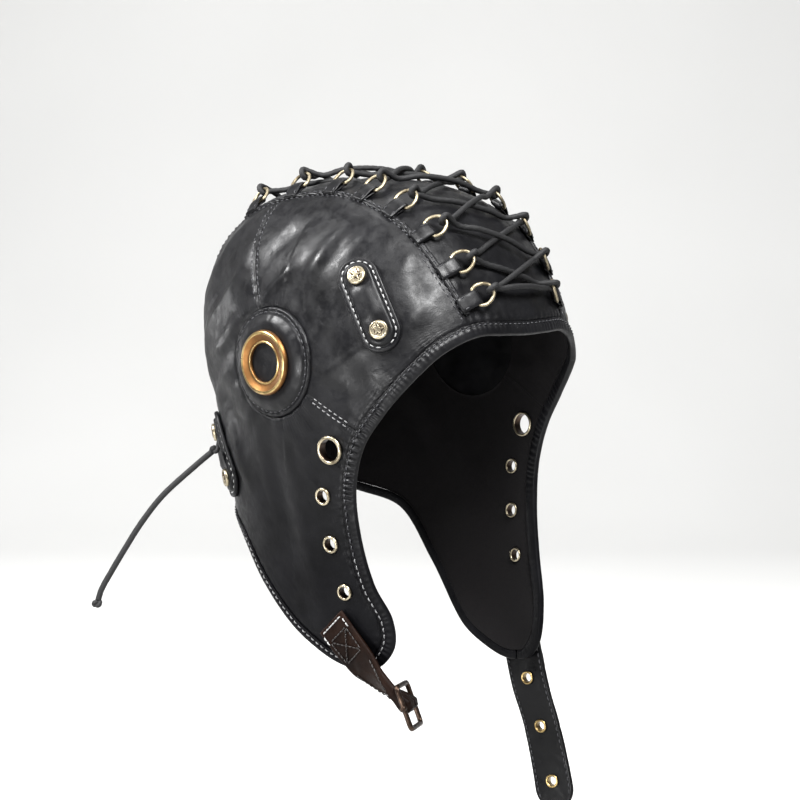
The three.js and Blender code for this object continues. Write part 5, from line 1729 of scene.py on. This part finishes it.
def build_floor(right, level):
    """Pale paper: a level floor in front, a quarter round behind the hat and an upright backdrop."""
    across = np.linspace(-FLOOR["half"], FLOOR["half"], 3)
    turn = np.radians(np.linspace(0, 90, 13))
    curve = FLOOR["back"] + FLOOR["sweep"] * np.sin(turn)
    run = np.concatenate([[-FLOOR["front"]], curve, [FLOOR["back"] + FLOOR["sweep"]]])
    rise = np.concatenate([[0.0], FLOOR["sweep"] * (1 - np.cos(turn)), [FLOOR["top"]]])
    x = across[:, None] * right.x - run[None] * level.x
    y = across[:, None] * right.y - run[None] * level.y
    points = stack(x, y, FLOOR["z"] + rise[None]).reshape(-1, 3)
    mesh = bpy.data.meshes.new("floor")
    mesh.from_pydata(points * MM, [], grid_faces(3, len(run))[:, ::-1])
    mesh.shade_smooth()
    # Matt drawing paper: even light grey without a shine
    material, tree, shader, where = new_finish("matt_paper")
    mottle = add(tree, "ShaderNodeTexNoise", Vector=where, Scale=per(400), Detail=2.0)
    dress(tree, shader, Roughness=0.95,
          Base_Color=ramp(tree, mottle.outputs["Fac"], [(0.2, "bcbcbb"), (0.8, "c3c3c2")]))
    mesh.materials.append(material)
    floor = bpy.data.objects.new("floor", mesh)
    bpy.context.scene.collection.objects.link(floor)


def build_stage(look):
    """Camera at the photograph's angle, five soft round lamps, a white world and a paper backdrop."""
    scene = bpy.context.scene
    azimuth, elevation = math.radians(look.azimuth), math.radians(look.elevation)
    target = Vector(AIM_AT)
    back = Vector((math.sin(azimuth) * math.cos(elevation), -math.cos(azimuth) * math.cos(elevation),
                   math.sin(elevation)))
    lens = bpy.data.cameras.new("camera")
    lens.lens, lens.sensor_width = look.lens, 36.0
    scene.camera = put(lens, "camera", target + back * look.distance, target)

    right = Vector((math.cos(azimuth), math.sin(azimuth), 0))
    level = Vector((back.x, back.y, 0)).normalized()
    for name, row in LAMPS.items():
        data = bpy.data.lights.new(name, "AREA")
        data.shape, data.size, data.energy = "DISK", row["size"], row["watts"]
        turn, rise = math.radians(row["turn"]), math.radians(row["rise"])
        way = (right * math.sin(turn) + level * math.cos(turn)) * math.cos(rise)
        put(data, name, target + (way + Vector((0, 0, math.sin(rise)))) * row["away"], target)

    world = bpy.data.worlds.new("studio")
    world.use_nodes = True
    surround = world.node_tree.nodes["Background"]
    surround.inputs["Color"].default_value = (1, 1, 1, 1)
    surround.inputs["Strength"].default_value = look.world
    scene.world = world
    scene.view_settings.view_transform = "Standard"
    build_floor(right, level)


# The add-on

class HatLeather(bpy.types.PropertyGroup):
    """Leather of the hat"""
    dark: FloatVectorProperty(name="Dark", description="Leather colour in its dark patches", size=4,
                              default=linear("050506"), subtype="COLOR", min=0, max=1)
    light: FloatVectorProperty(name="Light", description="Leather colour where it is worn", size=4,
                               default=linear("0e0e10"), subtype="COLOR", min=0, max=1)
    roughness: FloatProperty(name="Roughness", description="Roughness of the leather's finish",
                             default=0.33, min=0.05, max=1.0, subtype="FACTOR")
    pitch: FloatProperty(name="Grid pitch", description="Spacing of the panels' points in mm",
                         default=1.5, min=0.5, max=5.0)


class HatSizes(bpy.types.PropertyGroup):
    """Sizes of the fine work, in millimetres"""
    stitch_pitch: FloatProperty(name="Stitch pitch", description="From stitch to stitch", default=3.3,
                                min=1.0, max=10.0)
    stitch_length: FloatProperty(name="Stitch length", description="Length that shows", default=2.3,
                                 min=0.5, max=8.0)
    stitch_radius: FloatProperty(name="Stitch radius", description="Half the thread's width",
                                 default=0.34, min=0.1, max=1.0)
    band_pitch: FloatProperty(name="Band pitch", description="Spacing of a binding's sections",
                              default=0.55, min=0.3, max=5.0)
    band_pucker: FloatProperty(name="Band pucker", description="Height of a binding's waves",
                               default=0.42, min=0.0, max=2.0)


class HatStage(bpy.types.PropertyGroup):
    """Camera and light"""
    azimuth: FloatProperty(name="Azimuth", description="Camera angle round the hat, degrees",
                           default=-49.0)
    elevation: FloatProperty(name="Elevation", description="Camera angle upwards, degrees", default=5.5)
    lens: FloatProperty(name="Lens", description="Focal length in mm on a 36 mm sensor", default=88.65)
    distance: FloatProperty(name="Distance", description="From the camera to the hat", default=1.0,
                            unit="LENGTH")
    world: FloatProperty(name="Surround", description="Strength of the white surroundings", default=0.2)


class Maker:
    """Runs an operator's build function with its group of values. An error there stops the script."""
    values = "hat_sizes"

    def execute(self, context):
        self.build(getattr(context.scene, self.values))
        return {"FINISHED"}


class HAT_OT_stage(Maker, bpy.types.Operator):
    """Camera, lamps and floor"""
    bl_idname = "hat.stage"
    bl_label = "Stage"
    build = staticmethod(build_stage)
    values = "hat_stage"


class HAT_OT_panels(Maker, bpy.types.Operator):
    """Centre, front and rear panels of creased leather"""
    bl_idname = "hat.panels"
    bl_label = "Leather panels"
    build = staticmethod(build_panels)
    values = "hat_leather"


class HAT_OT_drawcord(Maker, bpy.types.Operator):
    """Drawcord and its two knots"""
    bl_idname = "hat.drawcord"
    bl_label = "Drawcord"
    build = staticmethod(build_drawcord)


class HAT_OT_bindings(Maker, bpy.types.Operator):
    """Folded bands round the face and the nape, with their stitching"""
    bl_idname = "hat.bindings"
    bl_label = "Bindings"
    build = staticmethod(build_bindings)


class HAT_OT_seams(Maker, bpy.types.Operator):
    """Stitch rows beside the seams"""
    bl_idname = "hat.seams"
    bl_label = "Seam stitches"
    build = staticmethod(build_seam_stitches)


class HAT_OT_discs(Maker, bpy.types.Operator):
    """Padded ear discs and their brass rings"""
    bl_idname = "hat.discs"
    bl_label = "Ear discs"
    build = staticmethod(build_discs)


class HAT_OT_tabs(Maker, bpy.types.Operator):
    """Lozenge tabs with their stitching"""
    bl_idname = "hat.tabs"
    bl_label = "Tabs"
    build = staticmethod(build_tabs)


class HAT_OT_rivets(Maker, bpy.types.Operator):
    """Star rivets of the tabs"""
    bl_idname = "hat.rivets"
    bl_label = "Rivets"
    build = staticmethod(build_rivets)


class HAT_OT_eyelets(Maker, bpy.types.Operator):
    """Eyelets of the two flaps"""
    bl_idname = "hat.eyelets"
    bl_label = "Eyelets"
    build = staticmethod(build_eyelets)


class HAT_OT_loops(Maker, bpy.types.Operator):
    """Rings along the crown and the leather loops that hold them"""
    bl_idname = "hat.loops"
    bl_label = "Rings and loops"
    build = staticmethod(build_loops)


class HAT_OT_lace(Maker, bpy.types.Operator):
    """Lace across the crown"""
    bl_idname = "hat.lace"
    bl_label = "Lace"
    build = staticmethod(build_lace)


class HAT_OT_chin_strap(Maker, bpy.types.Operator):
    """Chin strap with its eyelets and stitching"""
    bl_idname = "hat.chin_strap"
    bl_label = "Chin strap"
    build = staticmethod(build_chin_strap)


class HAT_OT_buckle_strap(Maker, bpy.types.Operator):
    """Brown strap that holds the buckle"""
    bl_idname = "hat.buckle_strap"
    bl_label = "Buckle strap"
    build = staticmethod(build_buckle_strap)


class HAT_OT_buckle(Maker, bpy.types.Operator):
    """Buckle with its cross pin and prong"""
    bl_idname = "hat.buckle"
    bl_label = "Buckle"
    build = staticmethod(build_buckle)


OPERATORS = [
    HAT_OT_stage, HAT_OT_drawcord, HAT_OT_panels, HAT_OT_bindings, HAT_OT_seams, HAT_OT_discs,
    HAT_OT_tabs, HAT_OT_rivets, HAT_OT_eyelets, HAT_OT_loops, HAT_OT_lace, HAT_OT_chin_strap,
    HAT_OT_buckle_strap, HAT_OT_buckle,
]


class HAT_PT_panel(bpy.types.Panel):
    """Lists the hat's parts"""
    bl_label = "Aviator hat"
    bl_idname = "HAT_PT_panel"
    bl_space_type = "VIEW_3D"
    bl_region_type = "UI"
    bl_category = "Hat"

    def draw(self, context):
        for group in (context.scene.hat_leather, context.scene.hat_sizes, context.scene.hat_stage):
            for name in group.__annotations__:
                self.layout.prop(group, name)
        for operator in OPERATORS:
            self.layout.operator(operator.bl_idname)


CLASSES = [HatLeather, HatSizes, HatStage, *OPERATORS, HAT_PT_panel]


def register():
    """Makes the classes and the scene's three groups of values known."""
    for cls in CLASSES:
        bpy.utils.register_class(cls)
    bpy.types.Scene.hat_leather = PointerProperty(type=HatLeather)
    bpy.types.Scene.hat_sizes = PointerProperty(type=HatSizes)
    bpy.types.Scene.hat_stage = PointerProperty(type=HatStage)


def unregister():
    """Takes back what register did, in turn."""
    del bpy.types.Scene.hat_leather
    del bpy.types.Scene.hat_sizes
    del bpy.types.Scene.hat_stage
    for cls in reversed(CLASSES):
        bpy.utils.unregister_class(cls)


def main():
    """Makes every part in order."""
    register()
    for operator in OPERATORS:
        module, name = operator.bl_idname.split(".")
        getattr(getattr(bpy.ops, module), name)()


if __name__ == "__main__":
    main()
